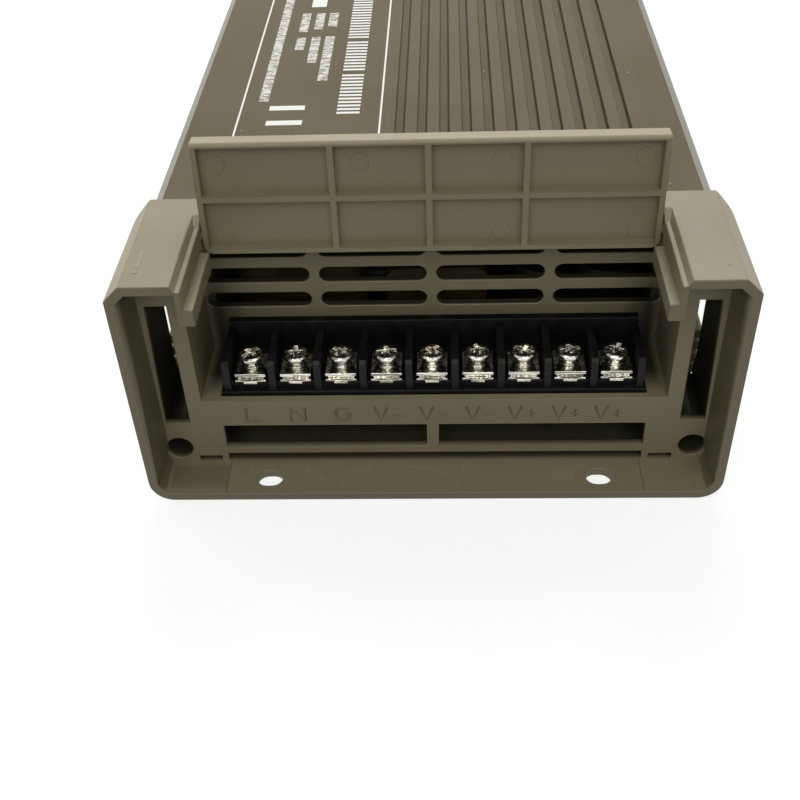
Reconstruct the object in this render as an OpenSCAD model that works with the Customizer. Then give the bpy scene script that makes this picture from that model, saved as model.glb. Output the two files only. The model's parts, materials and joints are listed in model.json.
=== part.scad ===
// Rainproof power supply: a switching supply in a splash shielded, fan cooled case.
// X runs across the case, Y from the terminal end to the rear end, Z up.
// The origin is the middle of the footprint, on the surface that the case stands on.
// Inside the modules, y is counted from the front plane of the terminal end.

/* [Case] */
// Length over both end caps
overall_l = 220; // [205:1:260]
// Height over the end caps
cap_h = 55; // [51:0.5:64]
// Wall of the end caps
cap_wall = 2; // [1.6:0.1:2.4]
// Depth of the open recess at each end
recess_d = 10; // [9:0.5:14]
// Thickness of the panel behind each recess
panel_t = 1.8; // [1.4:0.1:2.4]
// Chamfer along the top edges of the end caps
cap_chamfer = 3.2; // [2:0.1:4.5]
// Radius of the bottom edges of the end caps
foot_r = 5; // [4.5:0.1:6.5]
// Plan radius of the corners where a cap meets the housing
cap_corner_r = 4; // [2.5:0.1:5]
// Width from the bay side wall to the outside of the cap
ear_w = 11.65; // [11:0.05:14]
// Depth of the rear cap
rear_cap_d = 16; // [14.5:0.5:24]
// Length of the collar that locates a cap in the housing
collar_l = 4; // [2:0.5:8]
// Clearance between that collar and the housing
collar_gap = 0.3; // [0.1:0.05:0.6]

/* [Mounting] */
// Distance between the mounting slots across the case
mount_w = 70; // [50:1:84]
// Distance from the end of the case to the slot centres
mount_edge = 4.7; // [4:0.1:6]
// Width of a mounting slot
mount_slot_w = 4.5; // [3.2:0.1:5]
// Length of a mounting slot
mount_slot_l = 5.4; // [5:0.1:9]

/* [Terminals] */
// Number of terminal ways
term_n = 9; // [8:1:12]
// Pitch of the terminal ways
term_pitch = 9.5; // [8.5:0.1:12]
// Depth of the terminal block
block_d = 15; // [13.5:0.5:18]
// Height of the contact deck above the bay floor
deck_h = 2.3; // [2:0.1:4]
// Height of the barriers above the contact deck
barrier_h = 5.7; // [4.5:0.1:7]
// Thickness of a barrier
barrier_t = 1.5; // [1:0.1:2]
// Depth of the slope at a barrier's front top corner
barrier_slope_d = 0.8; // [0.2:0.1:2]
// Height of that slope
barrier_slope_h = 0.5; // [0.2:0.1:1.5]
// Extra width of the block beyond the outermost ways
block_end = 1.4; // [1:0.1:3]
// Thickness of the block's rear wall
block_back_t = 1.9; // [1.2:0.1:2.4]
// Height of that wall above the contact deck
block_back_h = 7; // [5:0.1:9]
// Depth of the step along the block's front edge
block_lip_d = 1.4; // [1.2:0.1:2]
// Height of that step above the bay floor
block_lip_h = 0.8; // [0.4:0.1:1.4]
// Clearance between the block and the bay floor around it
block_gap = 0.2; // [0.1:0.05:0.4]
// Width of a contact plate and of a clamp plate
clamp_w = 6.5; // [5.4:0.1:7]
// Thickness of one clamp plate
clamp_t = 0.7; // [0.5:0.1:1.2]
// How far the clamp plates reach forward past their square
clamp_nose = 0.6; // [0:0.1:0.9]
// How far the lower clamp plate is set in under the upper one
clamp_step = 0.45; // [0.1:0.05:0.8]
// Thickness of a contact plate
tab_t = 0.5; // [0.4:0.05:1.1]
// Width of the bent tongue of a contact plate
tongue_w = 2.9; // [2:0.1:5]
// How far that tongue reaches below the contact deck
tongue_drop = 0.2; // [0.1:0.1:0.6]
// Diameter of a terminal screw
term_screw_d = 3.5; // [2.5:0.1:4]
// Diameter of a terminal screw's head
term_head_d = 5.5; // [4.6:0.1:6]
// Height of a terminal screw's head
term_head_h = 3; // [2:0.1:3.5]

/* [Terminal bay] */
// Height of the bay floor above the base
bay_floor = 19.2; // [17:0.1:22]
// Space between the block and each side wall of the bay
bay_side_gap = 4.2; // [2.5:0.1:6]
// Space between the block and the rear wall of the bay
bay_rear_gap = 2.5; // [1.5:0.1:5]
// Number of vent columns in the rear wall of the bay
vent_columns = 4; // [2:1:6]
// Number of vent rows in the rear wall of the bay
vent_rows = 3; // [1:1:3]
// Height of a vent slot
vent_h = 3.6; // [2.4:0.1:4.4]
// Pitch of the vent rows
vent_pitch = 6.25; // [5.6:0.05:7]
// Web between neighbouring vent columns
vent_web = 2.1; // [1.2:0.1:4]
// Distance from the cap's top to the middle of the highest vent row
vent_top = 11.4; // [9:0.1:12]

/* [Front panel] */
// Height of the lower edge of the two air openings
air_low = 6.2; // [5.6:0.1:7]
// Height of the upper edge of the two air openings
air_high = 12.2; // [10:0.1:14]
// Web between the two air openings
air_web = 2.5; // [1.5:0.1:6]
// Width of the panel left beside each air opening
air_side = 3.75; // [2:0.05:8]
// Height of the drain slit along the floor
slit_h = 2.2; // [1.2:0.1:2.8]
// Width of the side vent slot in each ear
ear_slot_w = 5.3; // [3:0.1:6]
// Width of the panel left between the lower end of that slot and the side wall
ear_slot_inset = 0.3; // [0.2:0.05:0.6]
// How far the outer side of that slot leans in towards its top
ear_slot_lean = 0.9; // [0:0.1:1.6]
// How much the side walls of the recess thicken towards its panel
recess_draft = 0.85; // [0.3:0.05:1.2]
// How far the side walls of the cap end short of the housing beside the ear slots
side_gap = 1.7; // [1:0.1:3]
// Height of the lower end of the ear slot
ear_slot_low = 13.1; // [12:0.1:18]
// Distance from the cap's top to the upper end of the ear slot
ear_slot_top = 11.5; // [11:0.1:16]

/* [Cover] */
// How far the cover rails reach in over the bay
rail_reach = 2.9; // [2:0.05:4]
// Thickness of a rail
rail_t = 1.2; // [1:0.1:1.8]
// Depth of a rail below the cap's top
rail_drop = 9; // [8.6:0.1:11]
// How far a ledge stands in from its rail
ledge_reach = 1.9; // [1.2:0.1:3]
// Height of a ledge
ledge_h = 3.7; // [2.5:0.1:3.9]
// Width of the level floor of the trough along the roof beside the cover
lip_flat = 0.95; // [0.3:0.05:1.2]
// Width of the slope from that floor up to the roof
lip_w = 0.8; // [0.6:0.1:1.4]
// Depth of the trough
lip_d = 1.3; // [0.6:0.1:1.6]
// Length of the trough at its full depth
lip_l = 22; // [15:0.5:22]
// Length over which the trough runs out towards the hinge
lip_run = 3; // [2:0.5:4]
// Thickness of the cover over its ribs
cover_t = 3.6; // [2.8:0.1:3.9]
// Thickness of the cover's skin
cover_skin = 1.5; // [1:0.1:2]
// Thickness of the cover's border rib
cover_border = 1.1; // [0.8:0.1:2]
// Thickness of the cover's inner ribs
cover_rib = 1.25; // [0.8:0.05:1.8]
// Distance from the middle rib to the next rib
cover_rib_pitch = 18.6; // [14:0.1:22]
// Distance from the front plane to the closed cover
cover_setback = 3.9; // [2:0.1:6]
// Lean of the open cover behind the vertical
cover_lean = 4; // [2:0.5:5]
// Clearance beside the cover
cover_gap = 0.25; // [0.2:0.05:0.6]
// Clearance under the closed cover
cover_seat = 0.3; // [0.2:0.05:0.5]
// Length of the cover behind its hinge axis
cover_tail = 3.8; // [3.4:0.1:4.2]
// Radius of the inner side of the cover's free edge
cover_edge_r = 0.8; // [0.3:0.1:1]
// Plan radius of the cover's corners at the hinge
cover_corner_r = 2; // [1:0.1:2.4]
// Radius of the cover's hinge edge
cover_tail_r = 1.8; // [1.4:0.1:2.2]
// Distance from the closed cover's underside up to the hinge axis
hinge_rise = 1.3; // [1.25:0.05:1.6]
// Distance from the hinge axis forward to the rear ends of the ledges
ledge_end = 3.9; // [3:0.1:6]
// Radius of a hinge pin
pin_r = 1.2; // [0.9:0.05:1.25]
// Running clearance of a hinge pin
pin_gap = 0.05; // [0.02:0.01:0.1]
// Depth of the roof strip over the hinge, whose edge stops the open cover
strip_d = 3; // [2.4:0.1:3.4]
// Gap between the leaning open cover and that edge
stop_gap = 0.3; // [0.2:0.05:0.5]
// Distance from the cover's free edge to the snap nubs on its sides
nub_y = 2.2; // [1.5:0.1:4]
// Length of a nub
nub_l = 1.3; // [1:0.1:2]
// How far a nub stands out
nub_proud = 0.2; // [0.1:0.05:0.2]

/* [Housing] */
// Step from the side of the cap to the side of the housing
body_step = 2.8; // [2.2:0.1:3.2]
// Step from the top of the cap to the top of the housing
body_drop = 0.8; // [0.4:0.1:1.4]
// Thickness of the housing's top
roof_t = 2.2; // [1.9:0.1:3]
// Thickness of the housing's side walls
shell_wall = 2; // [1.6:0.1:3]
// Depth of the finned channel along each side
side_depth = 6.3; // [5.5:0.1:6.6]
// Chamfer along the top edges of the housing
shell_chamfer = 2.5; // [1.5:0.1:3]
// Height of the eave along each top edge
eave_h = 7; // [5:0.1:9]
// Thickness of the eave
eave_t = 2.6; // [2:0.1:4]
// Thickness of a side fin
fin_t = 2.2; // [1.4:0.1:2.6]
// Pitch of the side fins
fin_pitch = 3.25; // [3:0.05:3.6]
// Number of fins in each group
fin_n = 4; // [2:1:4]
// Height of the lowest fin of the lower group
fin_low = 9.25; // [8.75:0.25:10]
// How far the fins stand out past the eaves
fin_proud = 2.2; // [0.5:0.1:2.4]
// Open height between the two groups of fins
fin_break = 11; // [8:0.1:12]
// Number of channels along the top
groove_n = 11; // [6:1:12]
// Pitch of the channels
groove_pitch = 5; // [4:0.05:5.5]
// Distance of the first channel's edge from the middle of the top
groove_start = -8.2; // [-14:0.1:-4]
// Width of a channel
groove_w = 2.3; // [1.5:0.05:3]
// Depth of a channel
groove_d = 0.9; // [0.3:0.05:1.2]
// How far each wall of a channel leans in
groove_draft = 0.2; // [0:0.05:0.4]
// Thickness of the base plate
base_t = 2; // [1.6:0.1:2.4]
// Width of the inner flange that takes the base screws
flange_w = 4; // [3.4:0.1:5]
// Height of that flange
flange_h = 4; // [3:0.1:5]

/* [Screws] */
// Diameter of the case screws
screw_d = 2.6; // [2:0.1:2.8]
// Head diameter of the case screws
screw_head_d = 5; // [4.2:0.1:5.2]
// Head height of the case screws
screw_head_h = 2; // [1.4:0.1:2.4]
// Radial clearance of a screw in its own hole
screw_gap = 0.05; // [0.02:0.01:0.1]
// Extra radius of a clearance hole
hole_gap = 0.35; // [0.2:0.05:0.4]
// Diameter of the round recesses for the cap screws
cap_recess_d = 5.7; // [5.4:0.1:6]
// Distance of the cap screws from the side of the cap
cap_screw_edge = 5.1; // [5:0.1:5.4]
// Height of the lower cap screws
cap_screw_low = 5.9; // [5.8:0.1:6.4]
// Distance of the upper cap screws from the cap's top
cap_screw_top = 5.4; // [5.2:0.1:7]
// Plastic left under the head of a cap screw
cap_screw_seat = 2.5; // [2:0.1:3.5]
// Length of a cap screw in the housing
cap_screw_grip = 8; // [5:0.5:12]
// Radius of the screw channels in the housing
channel_r = 3.4; // [3:0.1:3.6]
// Distance of the first base screw from the end of the base plate
base_screw_edge = 15; // [8:0.5:20]

/* [Electronics] */
// Height of the board above the base plate
standoff_h = 7; // [5:0.1:8]
// Outer diameter of a standoff
standoff_d = 5.6; // [5:0.1:7]
// Thickness of the board
board_t = 1.6; // [1:0.1:2]
// Gap between the board and the housing's side walls
board_side_gap = 3.5; // [2:0.1:4]
// Distance from the front plane to the board
board_front = 16; // [14:0.5:18]
// Gap between the board and the fan
board_fan_gap = 6; // [3:0.5:10]
// Thickness of the insulating sheet
sheet_t = 0.4; // [0.2:0.05:0.8]
// Distance from the bay's rear wall to the first part on the board
parts_gap = 5; // [4.5:0.5:8]
// Diameter of a bulk capacitor
bulk_d = 25; // [20:0.5:26]
// Height of a bulk capacitor
bulk_h = 30; // [24:0.5:34]
// Width of the transformer
transformer_w = 40; // [34:0.5:42]
// Length of the transformer
transformer_l = 36; // [30:0.5:40]
// Height of the transformer
transformer_h = 32; // [26:0.5:34]
// Width of a power device
device_w = 15.6; // [12:0.1:16]
// Height of a power device
device_h = 20; // [16:0.1:22]
// Thickness of a power device
device_t = 5; // [4:0.1:5.4]

/* [Fan] */
// Side of the fan frame
fan_size = 40; // [36:0.5:44]
// Depth of the fan frame
fan_d = 20; // [16:0.5:24]
// Wall of the fan frame beside its bore
fan_wall = 1.2; // [1:0.1:2]
// Gap between the blade tips and the bore
fan_tip_gap = 0.7; // [0.4:0.1:1.2]
// Radius of the rotor's hub
fan_hub_r = 9; // [8:0.1:10]
// Number of blades
fan_blades = 7; // [5:1:9]
// Pitch angle of the blades
fan_blade_angle = 38; // [25:1:45]
// Thickness of a blade
fan_blade_t = 1.1; // [0.8:0.1:1.6]
// Radius of the rotor's shaft
fan_shaft_r = 1; // [0.8:0.05:1.2]
// Running clearance of that shaft
fan_shaft_gap = 0.03; // [0.02:0.01:0.08]
// Distance between the fan's screw holes
fan_hole_pitch = 32; // [30:0.5:34]

/* [Hidden] */
$fn = 48;
eps = 0.01;

// Terminal bay and caps
block_w = term_n * term_pitch + 2 * block_end;
bay_w = block_w + 2 * bay_side_gap;
cap_w = bay_w + 2 * ear_w;
block_y0 = recess_d + panel_t + block_gap;
block_y1 = block_y0 + block_d;
bay_y1 = block_y1 + bay_rear_gap;
cap_d = bay_y1 + cap_wall;
recess_x = cap_w / 2 - cap_wall;
tube_wall = 1.2;
notch_gap = 1.4;
notch_w = 5;
notch_h = 1.5;
deck_z = bay_floor + deck_h;
clamp_z = deck_z + tab_t;
term_head_z = clamp_z + 2 * clamp_t;
tab_margin = 0.75;
term_y = block_y0 + block_lip_d + clamp_w / 2 + tab_margin;
term_turn = 47;
barrier_set = 0.4;
vent_l = (bay_w - (vent_columns - 1) * vent_web) / vent_columns;

// Cover and hinge
opening_w = bay_w - 2 * rail_reach;
cover_w = opening_w - 2 * cover_gap;
rail_z = cap_h - rail_drop;
ledge_z = rail_z + ledge_h;
cover_top = cover_t - hinge_rise;
hinge_z = ledge_z + cover_seat + hinge_rise;
strip_y = bay_y1 - strip_d;
strip_z = hinge_z + cover_top + cover_gap;
hinge_y = strip_y - stop_gap - cover_top / cos(cover_lean) - (cap_h - hinge_z) * tan(cover_lean);
cover_front = hinge_y - cover_setback;
cover_cross = (cover_front - cover_tail - cover_rib) / 2;
ledge_l = hinge_y - ledge_end;

// Housing
body_w = cap_w - 2 * body_step;
body_top = cap_h - body_drop;
roof_z = body_top - roof_t;
wall_x = body_w / 2 - side_depth;
inner_x = wall_x - shell_wall;
shell_y1 = overall_l - rear_cap_d;
shell_l = shell_y1 - cap_d;
cap_screw_x = cap_w / 2 - cap_screw_edge;
cap_screw_spots = [
    for (x = [-cap_screw_x, cap_screw_x], z = [cap_screw_low, cap_h - cap_screw_top]) [x, z]
];
fin_group = (fin_n - 1) * fin_pitch + fin_t;
fin_zs = [
    for (g = [0, 1], i = [0 : fin_n - 1])
        fin_low + i * fin_pitch + g * (fin_group + fin_break)
];
base_screw_x = inner_x - flange_w / 2;
base_screw_ys = [cap_d + base_screw_edge, cap_d + shell_l / 2, shell_y1 - base_screw_edge];
base_screw_l = base_t + flange_h - 0.5;

// Board and the parts on it
board_z = base_t + standoff_h;
board_top = board_z + board_t;
board_w = 2 * (inner_x - board_side_gap);
fan_y0 = overall_l - recess_d - panel_t - fan_d;
board_y1 = fan_y0 - board_fan_gap;
parts_y = cap_d + parts_gap;
standoff_x = board_w / 2 - standoff_d;
standoff_first = 30;
standoff_second = 58.5;
standoff_ys = [parts_y + standoff_first, parts_y + standoff_second, board_y1 - standoff_d];
device_lift = 3.4;
device_gap = 7;
device_z = board_top + device_lift;
device_first = parts_y + 95;
device_ys = [device_first, device_first + device_w + device_gap];
device_mid_y = (device_ys[0] + device_ys[1]) / 2;
clamp_bar_t = 2;
clamp_bar_h = 8;
clamp_bar_x = inner_x - device_t - clamp_bar_t;
clamp_bar_z = device_z + device_h / 2;

// Places of the parts on the board: x from its middle, y from the first part
edge_room = 0.5;
choke_w = 30;
choke_at = [-board_w / 2 + choke_w / 2 + edge_room, 10];
film_at = [1, 8];
fuse_at = [-12, 26];
bridge_at = [-2, 36];
bulk_at = [-board_w / 2 + bulk_d / 2 + edge_room, 45];
bulk_pitch = bulk_d + 2;
transformer_at = [6, 72];
ring_at = [board_w / 2 - 13.5 - edge_room, 40];
output_d = 12.5;
output_pitch = output_d + 1.5;
output_at = [board_w / 2 - output_d / 2 - 1, 6];
control_at = [6, 97];
core_limb = 6;
core_z = 3;
winding_gap = 0.3;

// Fan, counted from its face on the rear panel
fan_z = (base_t + roof_z) / 2;
fan_bore_r = fan_size / 2 - fan_wall;
fan_boss_r = 3.4;
fan_bearing_r = 2.4;
fan_base_t = 2;
fan_boss_y = 6;
fan_bearing_l = fan_d - fan_boss_y - fan_base_t / 2;
fan_rotor_y = 1.5;
fan_cup_t = 1.5;
fan_rim_t = 1.2;
fan_end_gap = 1;
fan_strut_w = 2.4;
fan_screw_grip = 10;

module from_front() {
    translate([0, -overall_l / 2, 0])
        children();
}

module from_rear() {
    translate([0, overall_l / 2, 0])
        rotate([0, 0, 180])
            children();
}

// Extrudes a drawing of the X-Z plane along Y
module along_y(y, length) {
    translate([0, y + length, 0])
        rotate([90, 0, 0])
            linear_extrude(length)
                children();
}

// A round bar along Y
module bar_y(r, x, y, z, length) {
    translate([x, y, z])
        rotate([-90, 0, 0])
            cylinder(r = r, h = length);
}

// A box given by its lowest and highest corners
module block(low, high) {
    translate(low)
        cube(high - low);
}

module both_sides() {
    children();
    mirror([1, 0, 0])
        children();
}

// A slot along the first axis of a drawing, with round ends
module slot(length, width) {
    square([length - width, width], center = true);
    for (side = [-1, 1])
        translate([side * (length - width) / 2, 0])
            circle(d = width);
}

module rounded_square(side, r) {
    square([side, side - 2 * r], center = true);
    square([side - 2 * r, side], center = true);
    for (x = [-1, 1], y = [-1, 1])
        translate([x * (side / 2 - r), y * (side / 2 - r)])
            circle(r = r);
}

// A pan head screw along +Z, its head above z = 0
module pan_screw(shank_d, length, head_d, head_h) {
    dome_r = head_d * 0.8;
    difference() {
        union() {
            translate([0, 0, -length])
                cylinder(d = shank_d, h = length + eps);
            intersection() {
                cylinder(d = head_d, h = head_h);
                translate([0, 0, head_h - dome_r])
                    sphere(r = dome_r);
            }
        }
        for (turn = [0, 90])
            rotate([0, 0, turn])
                translate([0, 0, head_h])
                    cube([head_d * 0.62, head_d * 0.16, head_h * 0.9], center = true);
    }
}

// Front view of a cap, set in by a wall
module cap_outline(inset) {
    half = cap_w / 2 - inset;
    r = foot_r - inset;
    top = cap_h - inset;
    c = cap_chamfer - inset * (2 - sqrt(2));
    polygon([
        [-half, foot_r], [half, foot_r], [half, top - c],
        [half - c, top], [c - half, top], [-half, top - c]
    ]);
    translate([-(half - r), inset])
        square([2 * (half - r), foot_r - inset + eps]);
    for (side = [-1, 1])
        translate([side * (half - r), foot_r])
            circle(r = r);
}

// The outside of a cap, with its corners rounded where the housing joins
module cap_body(depth) {
    intersection() {
        along_y(0, depth)
            cap_outline(0);
        linear_extrude(cap_h) {
            translate([-cap_w / 2, 0])
                square([cap_w, depth - cap_corner_r]);
            translate([-(cap_w / 2 - cap_corner_r), 0])
                square([cap_w - 2 * cap_corner_r, depth]);
            for (side = [-1, 1])
                translate([side * (cap_w / 2 - cap_corner_r), depth - cap_corner_r])
                    circle(r = cap_corner_r);
        }
    }
}

// Screw tubes behind a cap's panel
module cap_tubes(depth) {
    for (spot = cap_screw_spots)
        bar_y(cap_recess_d / 2 + tube_wall, spot[0], recess_d, spot[1], depth - recess_d);
}

module cap_tube_holes(depth) {
    for (spot = cap_screw_spots) {
        bar_y(cap_recess_d / 2, spot[0], -eps, spot[1], depth - cap_screw_seat + eps);
        bar_y(screw_d / 2 + hole_gap, spot[0], 0, spot[1], depth + eps);
    }
}

module mounting_slots() {
    both_sides()
        translate([mount_w / 2, mount_edge, -eps])
            linear_extrude(cap_wall + 2 * eps)
                slot(mount_slot_l, mount_slot_w);
}

module ear_slots(y, length) {
    outer = recess_x - recess_draft - ear_slot_inset;
    top = cap_h - ear_slot_top;
    both_sides()
        along_y(y, length)
            polygon([
                [outer - ear_slot_w, ear_slot_low], [outer, ear_slot_low],
                [outer - ear_slot_lean, top], [outer - ear_slot_w, top]
            ]);
}

// Wedges that thicken the side walls of a recess towards its panel
module recess_wedges() {
    both_sides()
        translate([recess_x, 0, foot_r])
            linear_extrude(cap_h - foot_r - cap_chamfer)
                polygon([[eps, 0], [eps, recess_d + eps], [-recess_draft, recess_d + eps]]);
}

// Open gaps between the side walls of the front cap and the housing
module side_gaps() {
    both_sides()
        block(
            [recess_x - eps, cap_d - side_gap, ear_slot_low],
            [cap_w / 2 + eps, cap_d + eps, cap_h - ear_slot_top]
        );
}

// Openings of the front panel below the terminals
module panel_openings() {
    air_x = bay_w / 2 - air_side;
    both_sides() {
        block(
            [air_web / 2, recess_d - eps, air_low],
            [air_x, recess_d + panel_t + eps, air_high]
        );
        block(
            [air_x + notch_gap, recess_d - eps, cap_wall],
            [air_x + notch_gap + notch_w, recess_d + panel_t + eps, cap_wall + notch_h]
        );
    }
    block(
        [-air_x, recess_d - eps, cap_wall],
        [air_x, recess_d + panel_t + eps, cap_wall + slit_h]
    );
}

// Vent slots in the rear wall of the bay
module bay_vents() {
    step = vent_l + vent_web;
    along_y(bay_y1 - eps, cap_wall + 2 * eps)
        for (c = [0 : vent_columns - 1], r = [0 : vent_rows - 1])
            translate([
                (c - (vent_columns - 1) / 2) * step,
                cap_h - vent_top - r * vent_pitch
            ])
                slot(vent_l, vent_h);
}

// Rail beside the cover, with the ledge that the closed cover lies on
module cover_rail() {
    x = opening_w / 2;
    block([x, 0, rail_z], [x + rail_t, bay_y1 + eps, cap_h - cap_wall + eps]);
    block([x - ledge_reach, 0, rail_z], [x + eps, ledge_l, ledge_z]);
}

// Trough along the roof beside the cover, whose floor runs out towards the hinge
module roof_lip() {
    x = opening_w / 2;
    slope_x = x + lip_flat;
    over = 2;
    translate([0, 0, cap_h - lip_d])
        intersection() {
            along_y(-eps, lip_l + over * lip_run)
                polygon([
                    [x - eps, 0], [slope_x, 0],
                    [slope_x + over * lip_w, over * lip_d], [x - eps, over * lip_d]
                ]);
            translate([x - lip_w, 0, 0])
                rotate([90, 0, 90])
                    linear_extrude(lip_flat + 2 * over * lip_w)
                        polygon([
                            [-lip_run, -lip_d], [lip_l - lip_run, -lip_d],
                            [lip_l + 2 * over * lip_run, 2 * over * lip_d], [-lip_run, 2 * over * lip_d]
                        ]);
        }
}

// Ribs that reach into the housing and locate the cap
module collar(y, low) {
    x = inner_x - collar_gap;
    top = roof_z - collar_gap;
    both_sides()
        block([x - cap_wall, y - eps, low], [x, y + collar_l, top]);
    block([-x, y - eps, top - cap_wall], [x, y + collar_l, top]);
}

module bay_tub() {
    x = bay_w / 2 + cap_wall;
    block([-x, recess_d, bay_floor - cap_wall], [x, cap_d + eps, cap_h]);
}

module front_cap() {
    color([0.50, 0.47, 0.40])
        from_front()
            difference() {
                union() {
                    difference() {
                        cap_body(cap_d);
                        along_y(-eps, recess_d + eps)
                            cap_outline(cap_wall);
                        difference() {
                            along_y(recess_d + panel_t, cap_d)
                                cap_outline(cap_wall);
                            bay_tub();
                        }
                        block(
                            [-bay_w / 2, recess_d - eps, bay_floor],
                            [bay_w / 2, bay_y1, cap_h - cap_wall]
                        );
                        block(
                            [-opening_w / 2, -eps, cap_h - cap_wall - eps],
                            [opening_w / 2, bay_y1, strip_z]
                        );
                        block(
                            [-opening_w / 2, -eps, strip_z - eps],
                            [opening_w / 2, strip_y, cap_h + eps]
                        );
                    }
                    intersection() {
                        cap_body(cap_d);
                        cap_tubes(cap_d);
                    }
                    recess_wedges();
                    both_sides()
                        cover_rail();
                    collar(cap_d, bay_floor);
                }
                both_sides() {
                    roof_lip();
                    translate([opening_w / 2 - eps, hinge_y, hinge_z])
                        rotate([0, 90, 0])
                            cylinder(r = pin_r + pin_gap, h = rail_t + 2 * eps);
                }
                block(
                    [-block_w / 2 - block_gap, recess_d + panel_t, bay_floor - cap_wall - eps],
                    [block_w / 2 + block_gap, block_y1 + block_gap, bay_floor + eps]
                );
                cap_tube_holes(cap_d);
                mounting_slots();
                ear_slots(recess_d - eps, panel_t + 2 * eps);
                side_gaps();
                panel_openings();
                bay_vents();
            }
}

// The cover as it lies closed, about its hinge axis
module cover_lying() {
    length = cover_front + cover_tail;
    cell_top = cover_top - cover_skin;
    xs = [
        -cover_w / 2 + cover_border, -cover_rib_pitch - cover_rib / 2, -cover_rib / 2,
        cover_rib_pitch - cover_rib / 2, cover_w / 2 - cover_border
    ];
    difference() {
        intersection() {
            translate([-cover_w / 2, 0, 0])
                rotate([90, 0, 90])
                    linear_extrude(cover_w)
                        cover_section(length);
            translate([0, 0, -hinge_rise - eps])
                linear_extrude(cover_t + 2 * eps)
                    cover_plan(length);
        }
        for (c = [0 : 3]) {
            low_x = xs[c] + (c == 0 ? 0 : cover_rib);
            block(
                [low_x, -cover_front + cover_border, -hinge_rise - eps],
                [xs[c + 1], -cover_cross - cover_rib, cell_top]
            );
            block(
                [low_x, -cover_cross, -hinge_rise - eps],
                [xs[c + 1], cover_tail - cover_border, cell_top]
            );
        }
    }
    both_sides() {
        translate([cover_w / 2 - eps, 0, 0])
            rotate([0, 90, 0])
                cylinder(r = pin_r, h = cover_gap + rail_t + eps);
        translate([cover_w / 2 + nub_proud - nub_l / 2, nub_y - cover_front, -hinge_rise])
            cylinder(d = nub_l, h = cover_t);
    }
}

// Side section of the cover, with its free edge and its hinge edge rounded
module cover_section(length) {
    r = cover_tail_r;
    e = cover_edge_r;
    translate([e - cover_front, -hinge_rise])
        square([length - e, cover_t - r]);
    translate([-cover_front, e - hinge_rise])
        square([length - r, cover_t - e]);
    translate([cover_tail - r, cover_top - r])
        circle(r = r);
    translate([e - cover_front, e - hinge_rise])
        circle(r = e);
}

// Plan of the cover, with its corners at the hinge rounded
module cover_plan(length) {
    r = cover_corner_r;
    half = cover_w / 2;
    translate([-half, -cover_front])
        square([cover_w, length - r]);
    translate([r - half, -cover_front])
        square([cover_w - 2 * r, length]);
    for (side = [-1, 1])
        translate([side * (half - r), cover_tail - r])
            circle(r = r);
}

module terminal_cover() {
    color([0.52, 0.49, 0.41])
        from_front()
            translate([0, hinge_y, hinge_z])
                rotate([-90 - cover_lean, 0, 0])
                    cover_lying();
}

// Front view of the housing extrusion
module shell_section() {
    half = body_w / 2;
    difference() {
        union() {
            intersection() {
                polygon([
                    [-half, base_t], [half, base_t], [half, body_top - shell_chamfer],
                    [half - shell_chamfer, body_top], [shell_chamfer - half, body_top],
                    [-half, body_top - shell_chamfer]
                ]);
                union() {
                    translate([-half, roof_z])
                        square([body_w, roof_t]);
                    both_sides()
                        shell_side(half);
                    for (spot = cap_screw_spots)
                        translate(spot)
                            circle(r = channel_r);
                }
            }
            both_sides()
                side_fins();
        }
        for (spot = cap_screw_spots)
            translate(spot)
                circle(d = screw_d + 2 * screw_gap);
        top_grooves();
    }
}

// One side of the housing: the eave, the wall, the foot and the inner flange
module shell_side(half) {
    translate([half - eave_t, body_top - eave_h])
        square([eave_t, eave_h]);
    translate([inner_x, base_t])
        square([shell_wall, roof_z - base_t + eps]);
    translate([inner_x, base_t])
        square([half - inner_x, cap_screw_low - channel_r]);
    translate([inner_x - flange_w, base_t])
        square([flange_w + eps, flange_h]);
}

// Cooling fins with round edges
module side_fins() {
    reach = side_depth + fin_proud - fin_t / 2;
    for (z = fin_zs) {
        translate([wall_x - eps, z - fin_t / 2])
            square([reach + eps, fin_t]);
        translate([wall_x + reach, z])
            circle(d = fin_t);
    }
}

// Channels along the top, with leaning walls
module top_grooves() {
    for (i = [0 : groove_n - 1])
        translate([groove_start + i * groove_pitch, body_top])
            polygon([
                [0, eps], [0, 0], [groove_draft, -groove_d],
                [groove_w - groove_draft, -groove_d], [groove_w, 0], [groove_w, eps]
            ]);
}

module base_screw_spots() {
    for (x = [-base_screw_x, base_screw_x], y = base_screw_ys)
        translate([x, y, 0])
            children();
}

module clamp_screw_spots() {
    for (side = [0, 1])
        mirror([side, 0, 0])
            translate([clamp_bar_x, device_mid_y, clamp_bar_z])
                rotate([0, -90, 0])
                    children();
}

module housing_shell() {
    color([0.38, 0.34, 0.28])
        from_front()
            difference() {
                along_y(cap_d, shell_l)
                    shell_section();
                base_screw_spots()
                    cylinder(d = screw_d + 2 * screw_gap, h = base_t + flange_h + eps);
                clamp_screw_spots()
                    translate([0, 0, -(wall_x - clamp_bar_x) - eps])
                        cylinder(d = screw_d + 2 * screw_gap, h = shell_wall + 2 * eps);
            }
}

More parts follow.
